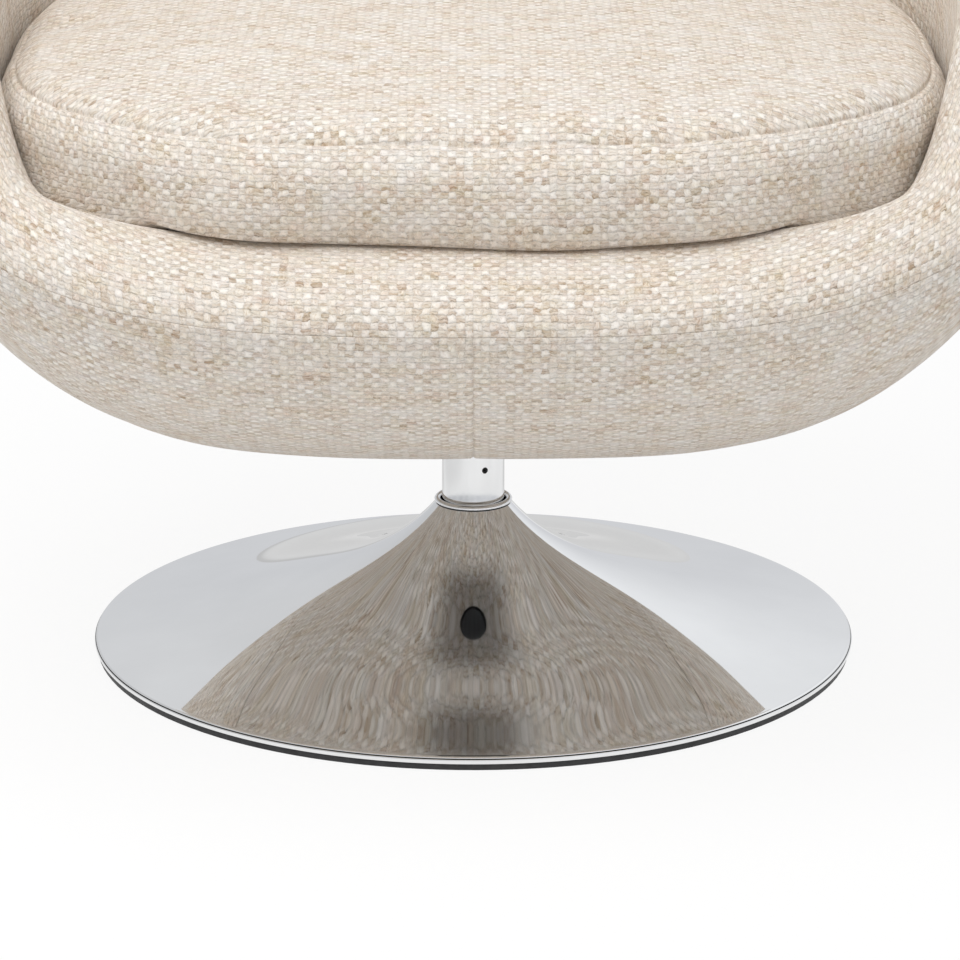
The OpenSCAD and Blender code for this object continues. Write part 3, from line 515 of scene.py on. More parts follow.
def row_distance(grid, angles, seam):
    """Length along each row of the grid from the column at the angle seam, either way round."""
    closed = np.concatenate([grid, grid[:1]])
    run = np.concatenate([np.zeros((1, grid.shape[1])),
                          np.cumsum(np.linalg.norm(np.diff(closed, axis=0), axis=-1), axis=0)])
    at = run[:-1] - run[np.abs(angles - seam).argmin()]
    return np.minimum(np.abs(at), run[-1] - np.abs(at))


# Upholstery fabric: a coarse basket weave of yarn pairs, cream with flecks of tan and grey. It
# is the same cloth on every piece; the weave lies on the cloth's own coordinates.

PIP_W, PIP_H = 0.0050, 0.0046
YARNS = [(0.48, 0.375, 0.285), (0.715, 0.615, 0.515), (0.85, 0.775, 0.69), (0.945, 0.895, 0.835)]


def maths(tree, operation, *values):
    """The result of one sum on values and outputs."""
    return node(tree, "Math", dict(enumerate(values)), operation=operation).outputs[0]


def basket_weave(name):
    """Basket weave. The cloth is a board of cells one pip wide, bent a little by two noises.
    Weft pairs lie on top on the cells where column plus row is even, warp pairs on the others.
    A float's height is the sine of the way along it to a power, and the weft's is split in two
    yarns across it. The tone adds up noises drawn out along the yarns, finer ones for their
    fibres, one over clusters of cells and a random number a cell, and picks a colour from
    YARNS, fleck to palest. Painted shade darkens it between the yarns and below each float,
    a painted highlight lightens the round middle of each warp float, and it is darkened in flecks."""
    finish = bpy.data.materials.new(name)
    finish.use_nodes = True
    tree = finish.node_tree
    shader = tree.nodes["Principled BSDF"]

    def times(a, b, plus=0.0):
        return maths(tree, "MULTIPLY_ADD", a, b, plus)

    def noise_at(x, y, z, detail=2.0):
        place = node(tree, "CombineXYZ", {0: x, 1: y, 2: z}).outputs[0]
        return node(tree, "TexNoise", {"Vector": place, "Scale": 1.0, "Detail": detail}).outputs["Fac"]

    def wander(scale, detail, reach):
        cloud = node(tree, "TexNoise", {"Vector": cloth, "Scale": scale, "Detail": detail}).outputs["Color"]
        middle = node(tree, "VectorMath", {0: cloud, 1: (0.5, 0.5, 0.5)}, operation="SUBTRACT").outputs[0]
        return node(tree, "VectorMath", {0: middle, 1: reach}, operation="MULTIPLY").outputs[0]

    cloth = node(tree, "UVMap", uv_map="cloth").outputs[0]
    bent = node(tree, "VectorMath", {0: cloth, 1: wander(110.0, 1.0, (0.005, 0.0035, 0))}, operation="ADD")
    bent = node(tree, "VectorMath", {0: bent.outputs[0], 1: wander(480.0, 3.0, (0.003, 0.0024, 0))},
                operation="ADD")
    split = node(tree, "SeparateXYZ", {0: bent.outputs[0]})
    across = maths(tree, "DIVIDE", split.outputs[0], PIP_W)
    down = maths(tree, "DIVIDE", split.outputs[1], PIP_H)
    column, row = maths(tree, "FLOOR", across), maths(tree, "FLOOR", down)
    in_x, in_y = maths(tree, "FRACT", across), maths(tree, "FRACT", down)
    warp_on_top = maths(tree, "FLOORED_MODULO", maths(tree, "ADD", column, row), 2.0)

    def arch(along, sharp):
        return maths(tree, "POWER", maths(tree, "SINE", times(along, np.pi)), sharp)

    def choose(weft, warp):
        return node(tree, "Mix", {0: warp_on_top, 2: weft, 3: warp}).outputs[0]

    pair = maths(tree, "POWER", maths(tree, "ABSOLUTE", maths(tree, "SINE", times(in_y, 2 * np.pi))), 0.6)
    weft_height = times(arch(in_x, 0.4), times(pair, 0.55, 0.35))
    warp_height = times(arch(in_y, 0.45), arch(in_x, 0.3))
    height = choose(weft_height, warp_height)
    weft_yarn = maths(tree, "FLOOR", times(down, 2.0))
    weft = noise_at(times(across, 0.3), times(weft_yarn, 3.7), 0.0)
    warp = noise_at(times(column, 4.3), times(down, 0.35), 9.0)
    weft_slub = noise_at(times(across, 0.06), times(weft_yarn, 2.1), 4.0, 1.0)
    warp_slub = noise_at(times(column, 2.7), times(down, 0.07), 7.0, 1.0)
    fibre = choose(
        noise_at(times(across, 1.9), times(down, 5.0), 2.0, 4.0),
        noise_at(times(across, 5.0), times(down, 1.9), 5.0, 4.0),
    )
    own = node(tree, "TexWhiteNoise", {0: node(tree, "CombineXYZ", {0: column, 1: row}).outputs[0]},
               noise_dimensions="2D").outputs["Value"]
    cluster = noise_at(times(across, 0.21), times(down, 0.21), 3.0, 3.0)
    tone = times(choose(weft, warp), 0.35)
    tone = times(choose(weft_slub, warp_slub), 0.25, tone)
    tone = times(fibre, 0.5, tone)
    tone = times(cluster, 0.14, tone)
    tone = times(own, 0.1, tone)
    tone = times(warp_on_top, 0.06, tone)
    colour = node(tree, "ValToRGB", {"Fac": tone})
    ramp = colour.color_ramp
    ramp.elements[0].position, ramp.elements[0].color = 0.5, (*YARNS[0], 1)
    ramp.elements[1].position, ramp.elements[1].color = 0.83, (*YARNS[3], 1)
    ramp.elements.new(0.6).color = (*YARNS[1], 1)
    ramp.elements.new(0.69).color = (*YARNS[2], 1)
    tint = noise_at(times(across, 0.4), times(down, 0.5), 1.0)
    hue = node(tree, "HueSaturation", {
        "Color": colour.outputs[0], "Hue": times(tint, 0.06, 0.47),
        "Saturation": times(cluster, -1.2, 1.74),
    })
    # Painted light: a highlight on the round middle of each warp float, and shade between the weft's two
    # yarns.
    float_highlight = times(arch(in_x, 0.6), arch(in_y, 0.6))
    lit = choose(times(pair, 0.12, 0.82), times(float_highlight, 0.21, 0.83))
    # Painted shade below each float, broken into dashes by a noise.
    below = maths(tree, "SUBTRACT", 1.0, maths(tree, "SMOOTH_MIN", times(in_y, 4.0), 1.0, 0.3))
    broken = noise_at(times(across, 1.2), times(row, 5.1), 6.0)
    lit = times(lit, times(times(below, ranged(tree, broken, 0.4, 0.6)), -0.3, 1.0))
    thread = noise_at(times(across, 1.3), times(down, 3.4), 11.0)
    lit = times(lit, times(ranged(tree, thread, 0.56, 0.68), -0.25, 1.0))
    tree.links.new(hue.outputs[0], shader.inputs["Base Color"])
    recoloured(finish, 1.0, lit, "MULTIPLY")
    bump = node(tree, "Bump", {"Height": times(fibre, 0.5, height), "Distance": 0.0007, "Strength": 0.7})
    tree.links.new(bump.outputs[0], shader.inputs["Normal"])
    shader.inputs["Roughness"].default_value = 0.95
    shader.inputs["Sheen Weight"].default_value = 0.15
    shader.inputs["Sheen Roughness"].default_value = 0.6
    return finish


fabric = basket_weave("basket_weave_cream")

# Outside cover: fabric on thin foam, cut in two front halves and two side panels, sewn at the
# middle of the front, behind each front corner and down the middle of the back.

COVER_T = 0.014
CLEAR = 0.0003
TURN_IN = 0.0005
COVER_SLACK = 0.0003
PUCKER, PUCKER_REACH = 0.0003, 0.012
COVER_STITCH = ((0.0011, 0.001), (0.0004, 0.011))
BY_STITCH = [0.0006, 0.0012, 0.0019, 0.003]
SEAMS = [0.0, 47.0, 180.0, 313.0]
COVER_PANELS = [(-1, 0, 47), (47, 108, 180), (180, 252, 313), (313, 360, 361)]
BY_SEAM = np.array([0.034, 0.027, 0.021, 0.016, 0.012, 0.0088, 0.0064, 0.0045, 0.003, 0.0018, 0.0008, 0])


def turned_in(away):
    """How far cloth turns in at its edge: a quarter circle over the last TURN_IN."""
    return TURN_IN * (1 - np.sqrt(1 - np.clip(1 - away / TURN_IN, 0, 1) ** 2))


def stitched(away, stitch):
    """How far cloth sinks beside a seam: a sum of bell curves, each with its depth and width."""
    return sum(depth * np.exp(-((away / width) ** 2)) for depth, width in stitch)


cover_u = even_angles(0.0048, SEAMS, BY_STITCH)
wall_w = np.concatenate([np.linspace(0, 0.958, 100), 1 - BY_SEAM])
U, W = np.meshgrid(cover_u, wall_w, indexing="ij")
smooth_wall = outer_point(U, W)
drop = np.linalg.norm(smooth_wall - smooth_wall[:, -1:], axis=-1)
sink = turned_in(drop)
for seam in SEAMS:
    sink = np.maximum(sink, stitched(row_distance(smooth_wall, cover_u, seam), COVER_STITCH))
slack = np.sin(np.radians(U * 7 + 40 * W)) * np.cos(W * 9 + np.radians(U * 3))
slack += np.sin(np.radians(U * 13 - 90 * W))
sink += CLEAR + COVER_SLACK * slack * np.sin(np.pi * np.clip(W, 0, 1))
near_edge = np.exp(-drop / PUCKER_REACH)
sink += PUCKER * (1 + np.sin(np.radians(U * 29)) * near_edge) * near_edge
outside = inside_point(U, W, sink)
U2, W2 = np.meshgrid(cover_u, np.linspace(1, 0, 40), indexing="ij")
inside = inside_point(U2, W2, np.full(U2.shape, COVER_T - CLEAR))
cover_grid = np.concatenate([outside, inside], axis=1)
cover_cloth = laid_cloth(cover_grid, cover_u, COVER_PANELS, wall_w.size - 1)
outside_cover = grid_piece("outside_cover_cloth", cover_grid, fabric, cover_cloth)
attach(outside_cover, "seat")
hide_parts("outside_cover")

# Inside pad: foam under the same fabric. It rolls from the outer seam over the front lip and
# the arms, then lines the well, and a slot behind it takes the core's edge.

SOFT_GAP = 0.0004
LIP_W, LIP_H = 0.08, 0.038
ROLL_W, ROLL_H = 0.04, 0.024
LIP_IN, LIP_DOWN = 0.014, 0.022
ROLL_IN, ROLL_DOWN = 0.034, 0.045
LIP_TO, ROLL_FROM, ROLL_H_FROM = 8, 54, 70
BACK_PAD, BACK_SWELL = 0.074, 0.009
CORE_T, SLOT_GAP = 0.008, 0.0056
CORE_LOW, CORE_LOW_ARM = 0.009, 0.02
PAD_SLACK = 0.0005
PAD_STITCH = ((0.0016, 0.0012), (0.001, 0.011))
PAD_Z = round(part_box("inside_pad")[0].z, 4)
SLOT_D = COVER_T + SOFT_GAP + CORE_T + SLOT_GAP


def from_lip(u, lip, roll, end=ROLL_FROM):
    """A size that is lip at the front and changes by a smooth step to roll on the arms."""
    return lip + (roll - lip) * smooth(LIP_TO, end, folded(u))


def crown_s(u):
    """Inset of the roll's top from the seam."""
    return from_lip(u, LIP_W, ROLL_W)


def crown_z(u):
    """Height of the roll's top."""
    return rim_z(u) + SOFT_GAP + from_lip(u, LIP_H, ROLL_H, ROLL_H_FROM)


def fall_s(u):
    """How far the roll goes in as it turns down."""
    return from_lip(u, LIP_IN, ROLL_IN)


def fall_z(u):
    """How far the roll goes down as it turns."""
    return from_lip(u, LIP_DOWN, ROLL_DOWN)


def foot_s(u):
    """Inset of the pad's foot from the seam."""
    return crown_s(u) + fall_s(u) + 0.002 + BACK_PAD * smooth(92, 165, folded(u))


def face_s(u, z):
    """Inset of the pad's inner face at a height: a quarter ellipse at the roll, then a straight
    line to the foot with a bow of one half sine at the back."""
    top, top_s = crown_z(u) - fall_z(u), crown_s(u) + fall_s(u)
    q = np.clip((top - z) / (top - PAD_Z), 0, 1)
    low = top_s + (foot_s(u) - top_s) * q + BACK_SWELL * smooth(110, 170, folded(u)) * np.sin(np.pi * q)
    high = crown_s(u) + fall_s(u) * np.sqrt(np.clip(1 - ((z - top) / fall_z(u)) ** 2, 0, 1))
    return np.where(z <= top, low, high)


def section_point(u, s, z):
    """The point at the inset s from the outer seam and the height z."""
    return np.concatenate([rim_xy(u) - s[..., None] * rim_out(u), z[..., None]], axis=-1)


PAD_SEAMS = [75.0, 285.0]
PAD_PANELS = [(-1, 0, 75), (75, 180, 285), (285, 360, 361)]
pad_u = even_angles(0.0052, PAD_SEAMS, BY_STITCH)
a = np.radians(np.concatenate([[0, 0.5, 1, 1.6, 2.4, 3.4, 4.6], np.linspace(6, 90, 26)]))
U, A = np.meshgrid(pad_u, a, indexing="ij")
seam_z = rim_z(U)
roll_s, roll_z = crown_s(U) * (1 - np.cos(A)), seam_z + (crown_z(U) - seam_z) * np.sin(A)
U1, A1 = np.meshgrid(pad_u, np.radians(np.linspace(0, 90, 14)[1:]), indexing="ij")
turn_s = crown_s(U1) + fall_s(U1) * np.sin(A1)
turn_z = crown_z(U1) - fall_z(U1) * (1 - np.cos(A1))
U2, Q = np.meshgrid(pad_u, np.linspace(0, 1, 46)[1:], indexing="ij")
well_z = crown_z(U2) - fall_z(U2)
well_z = well_z + (PAD_Z - well_z) * Q
pad_face = np.concatenate([
    section_point(U, roll_s, roll_z), section_point(U1, turn_s, turn_z),
    section_point(U2, face_s(U2, well_z), well_z),
], axis=1)
from_seam = np.concatenate([np.zeros((pad_u.size, 1)), np.cumsum(
    np.linalg.norm(np.diff(pad_face, axis=1), axis=-1), axis=1)], axis=1)
along = np.roll(pad_face, -1, axis=0) - np.roll(pad_face, 1, axis=0)
across_face = np.gradient(pad_face, axis=1)
face_out = np.cross(along, across_face)
face_out /= np.linalg.norm(face_out, axis=-1, keepdims=True)
sink = turned_in(from_seam)
for seam in PAD_SEAMS:
    sink = np.maximum(sink, stitched(row_distance(pad_face, pad_u, seam), PAD_STITCH))
turn_at = np.radians(pad_u)[:, None]
slack = np.sin(7 * turn_at + from_seam * 16) * np.cos(5 * turn_at - from_seam * 21)
sink += PAD_SLACK * (1 + slack * np.clip(from_seam / 0.03, 0, 1))
sink += PUCKER * (1 + np.sin(31 * turn_at)) * np.exp(-from_seam / PUCKER_REACH)
pad_face = pad_face - sink[..., None] * face_out
low_w = np.linspace(0, 1, 241)
U3, W3 = np.meshgrid(pad_u, low_w, indexing="ij")
slot_z = inside_point(U3, W3, np.full(U3.shape, SLOT_D))[..., 2]
foot_w = low_w[np.argmax(slot_z >= PAD_Z, axis=1)]
core_top = 1 - (CORE_LOW + CORE_LOW_ARM * on_arm(pad_u)) / np.linalg.norm(
    outer_point(pad_u, np.ones(pad_u.size)) - outer_point(pad_u, np.zeros(pad_u.size)), axis=-1)
U4, Q4 = np.meshgrid(pad_u, np.linspace(0, 1, 22), indexing="ij")
back_w = foot_w[:, None] + (core_top - foot_w)[:, None] * Q4
pad_back = inside_point(U4, back_w, np.full(U4.shape, SLOT_D))
pad_slot = inside_point(U4[:, :2], np.stack([core_top, np.ones(pad_u.size)], axis=1),
                        np.full((pad_u.size, 2), COVER_T + SOFT_GAP))
pad_slot[:, 1, 2] += SOFT_GAP
pad_grid = np.concatenate([pad_face, pad_back, pad_slot], axis=1)
pad_cloth = laid_cloth(pad_grid, pad_u, PAD_PANELS, 0)
inside_pad = grid_piece("inside_pad_cloth", pad_grid, fabric, pad_cloth)
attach(inside_pad, "seat")
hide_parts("inside_pad")

# Under panel: the same fabric, stapled round a batten under the core and hemmed round the
# column. It hangs a little between them, and painted shade darkens it round the hole, for the column's shade.

HOLE_CLEAR = 0.029
BATTEN_W, BATTEN_H = 0.012, 0.0136
CLOTH_T = 0.0015
HANG, HEM, EDGE_DOWN = 0.0016, 0.0009, 0.0004
SHADE_SCALE, SHADE_SHIFT = (1, 2.5, 0), (0, 0.069, 0)
SHADE_IN, SHADE_OUT, SHADE_TONE = 0.02, 0.066, 0.36
panel_z = round(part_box("under_panel")[0].z, 4)
panel_u = pad_u[::2]
t = np.concatenate([[0, 0.004, 0.012, 0.03, 0.06], np.linspace(0.1, 0.94, 36), [0.965, 0.982, 0.993, 1]])
edge_xy = under_xy(panel_u, CLEAR)[:, None, :]
hole_xy = HOLE_CLEAR * edge_xy / np.linalg.norm(edge_xy, axis=-1, keepdims=True)
under_side = hole_xy + (edge_xy - hole_xy) * t[None, :, None]
hem = np.where(t < 0.05, np.sqrt(np.clip(1 - (t / 0.035 - 1) ** 2, 0, 1)) * HEM, 0)
down = HANG * np.sin(np.pi * t) + hem + EDGE_DOWN * np.clip((t - 0.985) / 0.015, 0, 1)
bottom = panel_z - down[None, :] + 0 * under_side[..., 0]
shell = np.concatenate([under_side, bottom[..., None]], axis=-1)
inward = edge_xy * (1 - BATTEN_W / np.linalg.norm(edge_xy, axis=-1, keepdims=True))
flat = np.full(panel_u.size, 1.0)[:, None, None]
lift = [(edge_xy, BATTEN_H), (inward, BATTEN_H), (inward, CLOTH_T), (hole_xy, CLOTH_T)]
rest = [np.concatenate([xy, (panel_z + h) * flat], axis=-1) for xy, h in lift]
panel_grid = np.concatenate([shell, *rest], axis=1)
next_column, next_place = np.roll(panel_grid, -1, axis=0), np.roll(panel_grid, -1, axis=1)
opposite = np.roll(next_column, -1, axis=1)
flat_cloth = np.stack([panel_grid, next_column, opposite, next_place], axis=2)[..., :2]
under_cloth = basket_weave("basket_weave_under")
tree = under_cloth.node_tree
# Painted shade: the colour darkens towards the hole, down to SHADE_TONE within SHADE_IN.
place = node(tree, "TexCoord").outputs["Object"]
in_plan = node(tree, "VectorMath", {0: place, 1: SHADE_SCALE, 2: SHADE_SHIFT}, operation="MULTIPLY_ADD")
out_r = node(tree, "VectorMath", {0: in_plan.outputs[0]}, operation="LENGTH").outputs["Value"]
painted_shade = ranged(tree, out_r, SHADE_IN, SHADE_OUT, SHADE_TONE, kind="SMOOTHSTEP")
recoloured(under_cloth, 1.0, painted_shade, "MULTIPLY")
under_panel = grid_piece("under_panel_cloth", panel_grid, under_cloth, flat_cloth)
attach(under_panel, "seat")
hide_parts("under_panel")

# Deck pad: a sheet of needled felt over the springs, arched as they are.

SPRING_MID = -0.0267
SPRING_HALF = 0.232
SPRING_RISE = 0.014
DECK_EDGE, DECK_ROUND = 0.009, 0.0078
DECK_T = 0.016
DECK_LUMPS = 0.0004


def arch_z(y):
    """Rise of the springs: a parabola in y."""
    return SPRING_RISE * np.clip(1 - ((y - SPRING_MID) / SPRING_HALF) ** 2, 0, None)


def closed_poles(piece):
    """Merges the points that meet at the middle of a piece's first and last rings."""
    mesh = bmesh.new()
    mesh.from_mesh(piece.data)
    bmesh.ops.remove_doubles(mesh, verts=mesh.verts, dist=1e-6)
    mesh.to_mesh(piece.data)
    mesh.free()
    return piece


def ringed(u, inset, share, z):
    """Rings round the middle of the springs at a share of the well's width, on their arch."""
    p = section_point(u, foot_s(u) + inset, 0 * u)
    x, y = p[..., 0] * share, SPRING_MID + (p[..., 1] - SPRING_MID) * share
    return np.stack([x, y, z + arch_z(y)], axis=-1)


felt = finish_of("needled_felt", (0.5, 0.49, 0.46), (0.66, 0.65, 0.61), (0.9, 1.0), 0.004, 0.0004)
deck_u = even_angles(0.012, [0.0], [0.004])
share = np.concatenate([np.linspace(0, 1, 24), np.ones(6), np.linspace(1, 0, 24)])
over_edge = np.radians([20, 55, 85, 95, 125, 160])
round_edge = DECK_EDGE - DECK_ROUND * np.concatenate([np.zeros(24), np.sin(over_edge), np.zeros(24)])
level = np.concatenate([np.zeros(24), (1 - np.cos(over_edge)) / 2, np.ones(24)]) * DECK_T
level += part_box("deck_pad")[0].z
U, S = np.meshgrid(deck_u, share, indexing="ij")
deck_grid = ringed(U, round_edge[None, :] + 0 * U, S, level[None, :])
lumps = np.sin(90 * deck_grid[..., 0]) * np.sin(70 * deck_grid[..., 1] + 1)
deck_grid[..., 2] += DECK_LUMPS * (lumps - 1)
deck_pad = closed_poles(grid_piece("deck_pad_felt", deck_grid, felt, tube=False))
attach(deck_pad, "seat")
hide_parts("deck_pad")

# Seat cushion: a loose block of foam and wadding in a cover with a crowned top, a border and a
# sewn edge. It fills the well and laps over the front lip.

seat_low, seat_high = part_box("seat_cushion")
CROWN_H = 0.016
EDGE_R = 0.034
EDGE_Z = round(seat_high.z, 4) - CROWN_H
SIDE_GAP = 0.0015
LAP_UP, LAP_CLEAR, LAP_STEP = 0.008, 0.0005, 0.0009
FRONT_OUT, FRONT_BOW, ARMS_IN = 0.014, 0.011, 0.05
ROLL_CLEAR = 0.0008
BORDER_LOW, BORDER_TOP = 0.004, 0.002
ARCH_FADE = 0.02
CROWN_POWER = 2.4
SEAM_DROP = 0.010
UNDER_ROWS, SIDE_ROWS, TOP_ROWS = 16, 16, 50


def lap_z(u):
    """Height at which the border starts to stand free of the pad."""
    return np.minimum(crown_z(u), FRONT_H + LIP_H + LAP_UP) + LAP_CLEAR


def free_s(u, z):
    """Inset of the border above the pad: it bows out by one half sine at the front."""
    low = lap_z(u)
    q = np.clip((z - low) / (EDGE_Z - low), 0, 1)
    step = smooth(10, 50, folded(u))
    bow = FRONT_BOW * (1 - step) * np.sin(np.pi * q)
    return LIP_W - FRONT_OUT + (ROLL_W + ARMS_IN - LIP_W) * step - bow


def edge_s(u, z):
    """Inset of the border, kept clear of the pad and rounded in over its last EDGE_R."""
    q = np.clip((z - EDGE_Z + EDGE_R) / EDGE_R, 0, 1)
    beside = np.where(z < crown_z(u) + ROLL_CLEAR, face_s(u, np.minimum(z, crown_z(u))) + SIDE_GAP, 0)
    return np.maximum(beside, free_s(u, z)) + EDGE_R * (1 - np.sqrt(1 - q**2))


def cushion_surface(u, inset, under, side, top):
    """The cushion as rings from the middle of the underside, round the border, to the top's
    middle. side gives the border rings as shares of its height below and above the lip's top
    and as drops from its edge. The crown falls as a power of the share of the width."""
    U, S = np.meshgrid(u, np.linspace(0, 1, under), indexing="ij")
    below = ringed(U, DECK_EDGE + inset + 0 * U, S, seat_low.z + inset + 0 * U)
    in_well, above_lip, drops = side
    U, _ = np.meshgrid(u, np.concatenate(side), indexing="ij")
    low, lap, last = seat_low.z + inset + BORDER_LOW, lap_z(u)[:, None], EDGE_Z - inset - drops[0]
    z = np.concatenate([
        low + (lap - low) * in_well, lap + LAP_STEP + (last - BORDER_TOP - lap) * above_lip,
        EDGE_Z - inset - drops + 0 * lap,
    ], axis=1)
    border = section_point(U, edge_s(U, np.minimum(z + inset * (z > lap + LAP_CLEAR), EDGE_Z)) + inset, z)
    border[..., 2] += arch_z(border[..., 1]) * (1 - np.clip((z - low) / ARCH_FADE, 0, 1)) ** 2
    U, S = np.meshgrid(u, np.linspace(1, 0, top + 1)[1:] ** 0.8, indexing="ij")
    ring = section_point(U, edge_s(U, np.full(U.shape, EDGE_Z)) + inset, 0 * U)
    y = SPRING_MID + (ring[..., 1] - SPRING_MID) * S
    crown = np.stack([ring[..., 0] * S, y, EDGE_Z - inset + CROWN_H * (1 - S**CROWN_POWER)], axis=-1)
    return np.concatenate([below, border, crown], axis=1)


SWELL_MOST = 0.009
FREE = 0.022
SMOOTHED = 0.014
LEAN, LEAN_H = 0.0085, 0.03
LEAN_AT, LEAN_W = 0.045, 0.06
SIDES_FROM, SIDES_TO = 0.075, 0.14
SIDES_UP, LEAN_DOWN, LIFT_H = 0.0022, 0.16, 0.01
EDGE_STITCH = ((0.0018, 0.0014), (0.0014, 0.013))
EDGE_PUCKER = 0.0004
NEAR_SEAM = 0.7 * np.array([0.003, 0.002, 0.0012, 0.0006])
drops = np.concatenate([
    [0.026, 0.022, 0.0185, 0.0155], SEAM_DROP + NEAR_SEAM, [SEAM_DROP], SEAM_DROP - NEAR_SEAM[::-1],
    [0.0062, 0.0046, 0.0032, 0.002, 0.001, 0.0004, 0],
])
border_rows = (np.linspace(0, 1, SIDE_ROWS), np.linspace(0, 1, SIDE_ROWS), drops)
seam_row = UNDER_ROWS + 2 * SIDE_ROWS + int(np.abs(drops - SEAM_DROP).argmin())
cushion_u = even_angles(0.006, [0.0], [0.002])
cut_grid = cushion_surface(cushion_u, 0.0, UNDER_ROWS, border_rows, TOP_ROWS)
swell = np.zeros(cut_grid.shape)
foam = cushion_surface(even_angles(0.012, [0.0], [0.004]), 0.006, 14, border_rows, 26)
foam = closed_poles(grid_piece("cushion_foam", foam, fabric, tube=False))
voxels = foam.modifiers.new("voxels", "REMESH")
voxels.mode = "VOXEL"
voxels.voxel_size = 0.006
settled(foam)
start = np.empty(3 * len(foam.data.vertices), np.float32)
foam.data.vertices.foreach_get("co", start)
pressed = foam.modifiers.new("pressed", "CLOTH").settings
for key, value in {
    "quality": 5, "mass": 0.3, "tension_stiffness": 12, "compression_stiffness": 12,
    "shear_stiffness": 6, "bending_stiffness": 1.5, "use_pressure": True, "uniform_pressure_force": 4,
}.items():
    setattr(pressed, key, value)
pressed.effector_weights.gravity = 0
for step in range(1, 21):
    bpy.context.scene.frame_set(step)
settled(foam)
moved = np.empty_like(start)
foam.data.vertices.foreach_get("co", moved)
move = (moved - start).reshape(-1, 3)
far = np.linalg.norm(move, axis=1, keepdims=True)
move *= np.minimum(1, SWELL_MOST / np.maximum(far, 1e-9))
foam.data.vertices.foreach_set("co", start + move.ravel())
bpy.context.scene.frame_set(1)
draped = grid_piece("cushion_draped", cut_grid, fabric, tube=False)
wrap = draped.modifiers.new("over_foam", "SHRINKWRAP")
wrap.target = foam
wrap.wrap_method = "NEAREST_SURFACEPOINT"
settled(draped)
taken = np.empty(cut_grid.size, np.float32)
draped.data.vertices.foreach_get("co", taken)
swell = taken.reshape(cut_grid.shape) - cut_grid
bpy.data.objects.remove(foam)
bpy.data.objects.remove(draped)
U, _ = np.meshgrid(cushion_u, np.zeros(cut_grid.shape[1]), indexing="ij")
out = (swell[..., :2] * rim_out(U)).sum(axis=-1)
swell = np.stack([out - out.mean(axis=0), swell[..., 2] - swell[..., 2].mean(axis=0)], axis=-1)
run = np.concatenate([[0], np.cumsum(np.linalg.norm(np.diff(rim_xy(cushion_u), axis=0), axis=1))])
apart = np.abs(run[:, None] - run[None, :])
apart = np.minimum(apart, run[-1] + run[1] - apart)
near_by = np.exp(-((apart / SMOOTHED) ** 2))
swell = np.einsum("ij,jkc->ikc", near_by / near_by.sum(axis=1, keepdims=True), swell)
fall = np.linalg.norm(np.diff(cut_grid, axis=1), axis=-1)
fall = np.concatenate([np.zeros((cushion_u.size, 1)), np.cumsum(fall, axis=1)], axis=1)
down = fall.mean(axis=0)
near_by = np.exp(-(((down[:, None] - down[None, :]) / SMOOTHED) ** 2)) * np.gradient(down)[None, :]
swell = np.einsum("ij,kjc->kic", near_by / near_by.sum(axis=1, keepdims=True), swell)
rise = cut_grid[..., 2] - lap_z(U)
swell *= smooth(0, FREE, rise)[..., None]
swell[:, -TOP_ROWS:] *= smooth(0, 0.4, np.linspace(1, 0, TOP_ROWS))[None, :, None]
side_x = cut_grid[..., 0]
on_lip = (1 - smooth(0.002, LAP_UP, crown_z(U) - FRONT_H - LIP_H)) * (rise > 0) * (cut_grid[..., 1] < 0)
to_side = smooth(SIDES_FROM, SIDES_TO, np.abs(side_x)) * on_lip
lean = LEAN * (np.exp(-(((side_x - LEAN_AT) / LEAN_W) ** 2)) * on_lip + to_side)
lean *= np.exp(-((rise / LEAN_H) ** 2))
lift = (SIDES_UP * to_side - LEAN_DOWN * lean) * np.exp(-((rise / LIFT_H) ** 2))
cushion_grid = cut_grid.copy()
cushion_grid[..., :2] += (swell[..., 0] + lean)[..., None] * rim_out(U)
cushion_grid[..., 2] += swell[..., 1] + lift
from_seam = np.abs(fall - fall[:, seam_row:seam_row + 1])
along = np.roll(cushion_grid, -1, axis=0) - np.roll(cushion_grid, 1, axis=0)
out = np.cross(along, np.gradient(cushion_grid, axis=1))
out /= np.maximum(np.linalg.norm(out, axis=-1, keepdims=True), 1e-12)
turn_at = np.radians(cushion_u)[:, None]
wrinkle = 1 + np.sin(53 * turn_at + 2 * np.sin(5 * turn_at))
sink = stitched(from_seam, EDGE_STITCH) + EDGE_PUCKER * wrinkle * np.exp(-from_seam / PUCKER_REACH)
cushion_grid -= sink[..., None] * out
sides = laid_cloth(cut_grid, cushion_u, [(-1, 0, 180), (180, 360, 361)], seam_row)[:, :-1]
next_column = np.roll(cut_grid, -1, axis=0)
planar = np.stack([cut_grid[:, :-1], next_column[:, :-1], next_column[:, 1:], cut_grid[:, 1:]], axis=2)
place = np.arange(cushion_grid.shape[1] - 1)
on_side = (place >= UNDER_ROWS - 1) & (place < seam_row)
cushion_cloth = np.where(on_side[None, :, None, None], sides, planar[..., :2])
seat_cushion = grid_piece("seat_cushion_cover", cushion_grid, fabric, cushion_cloth, tube=False)
closed_poles(seat_cushion)
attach(seat_cushion, "seat")
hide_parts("seat_cushion")
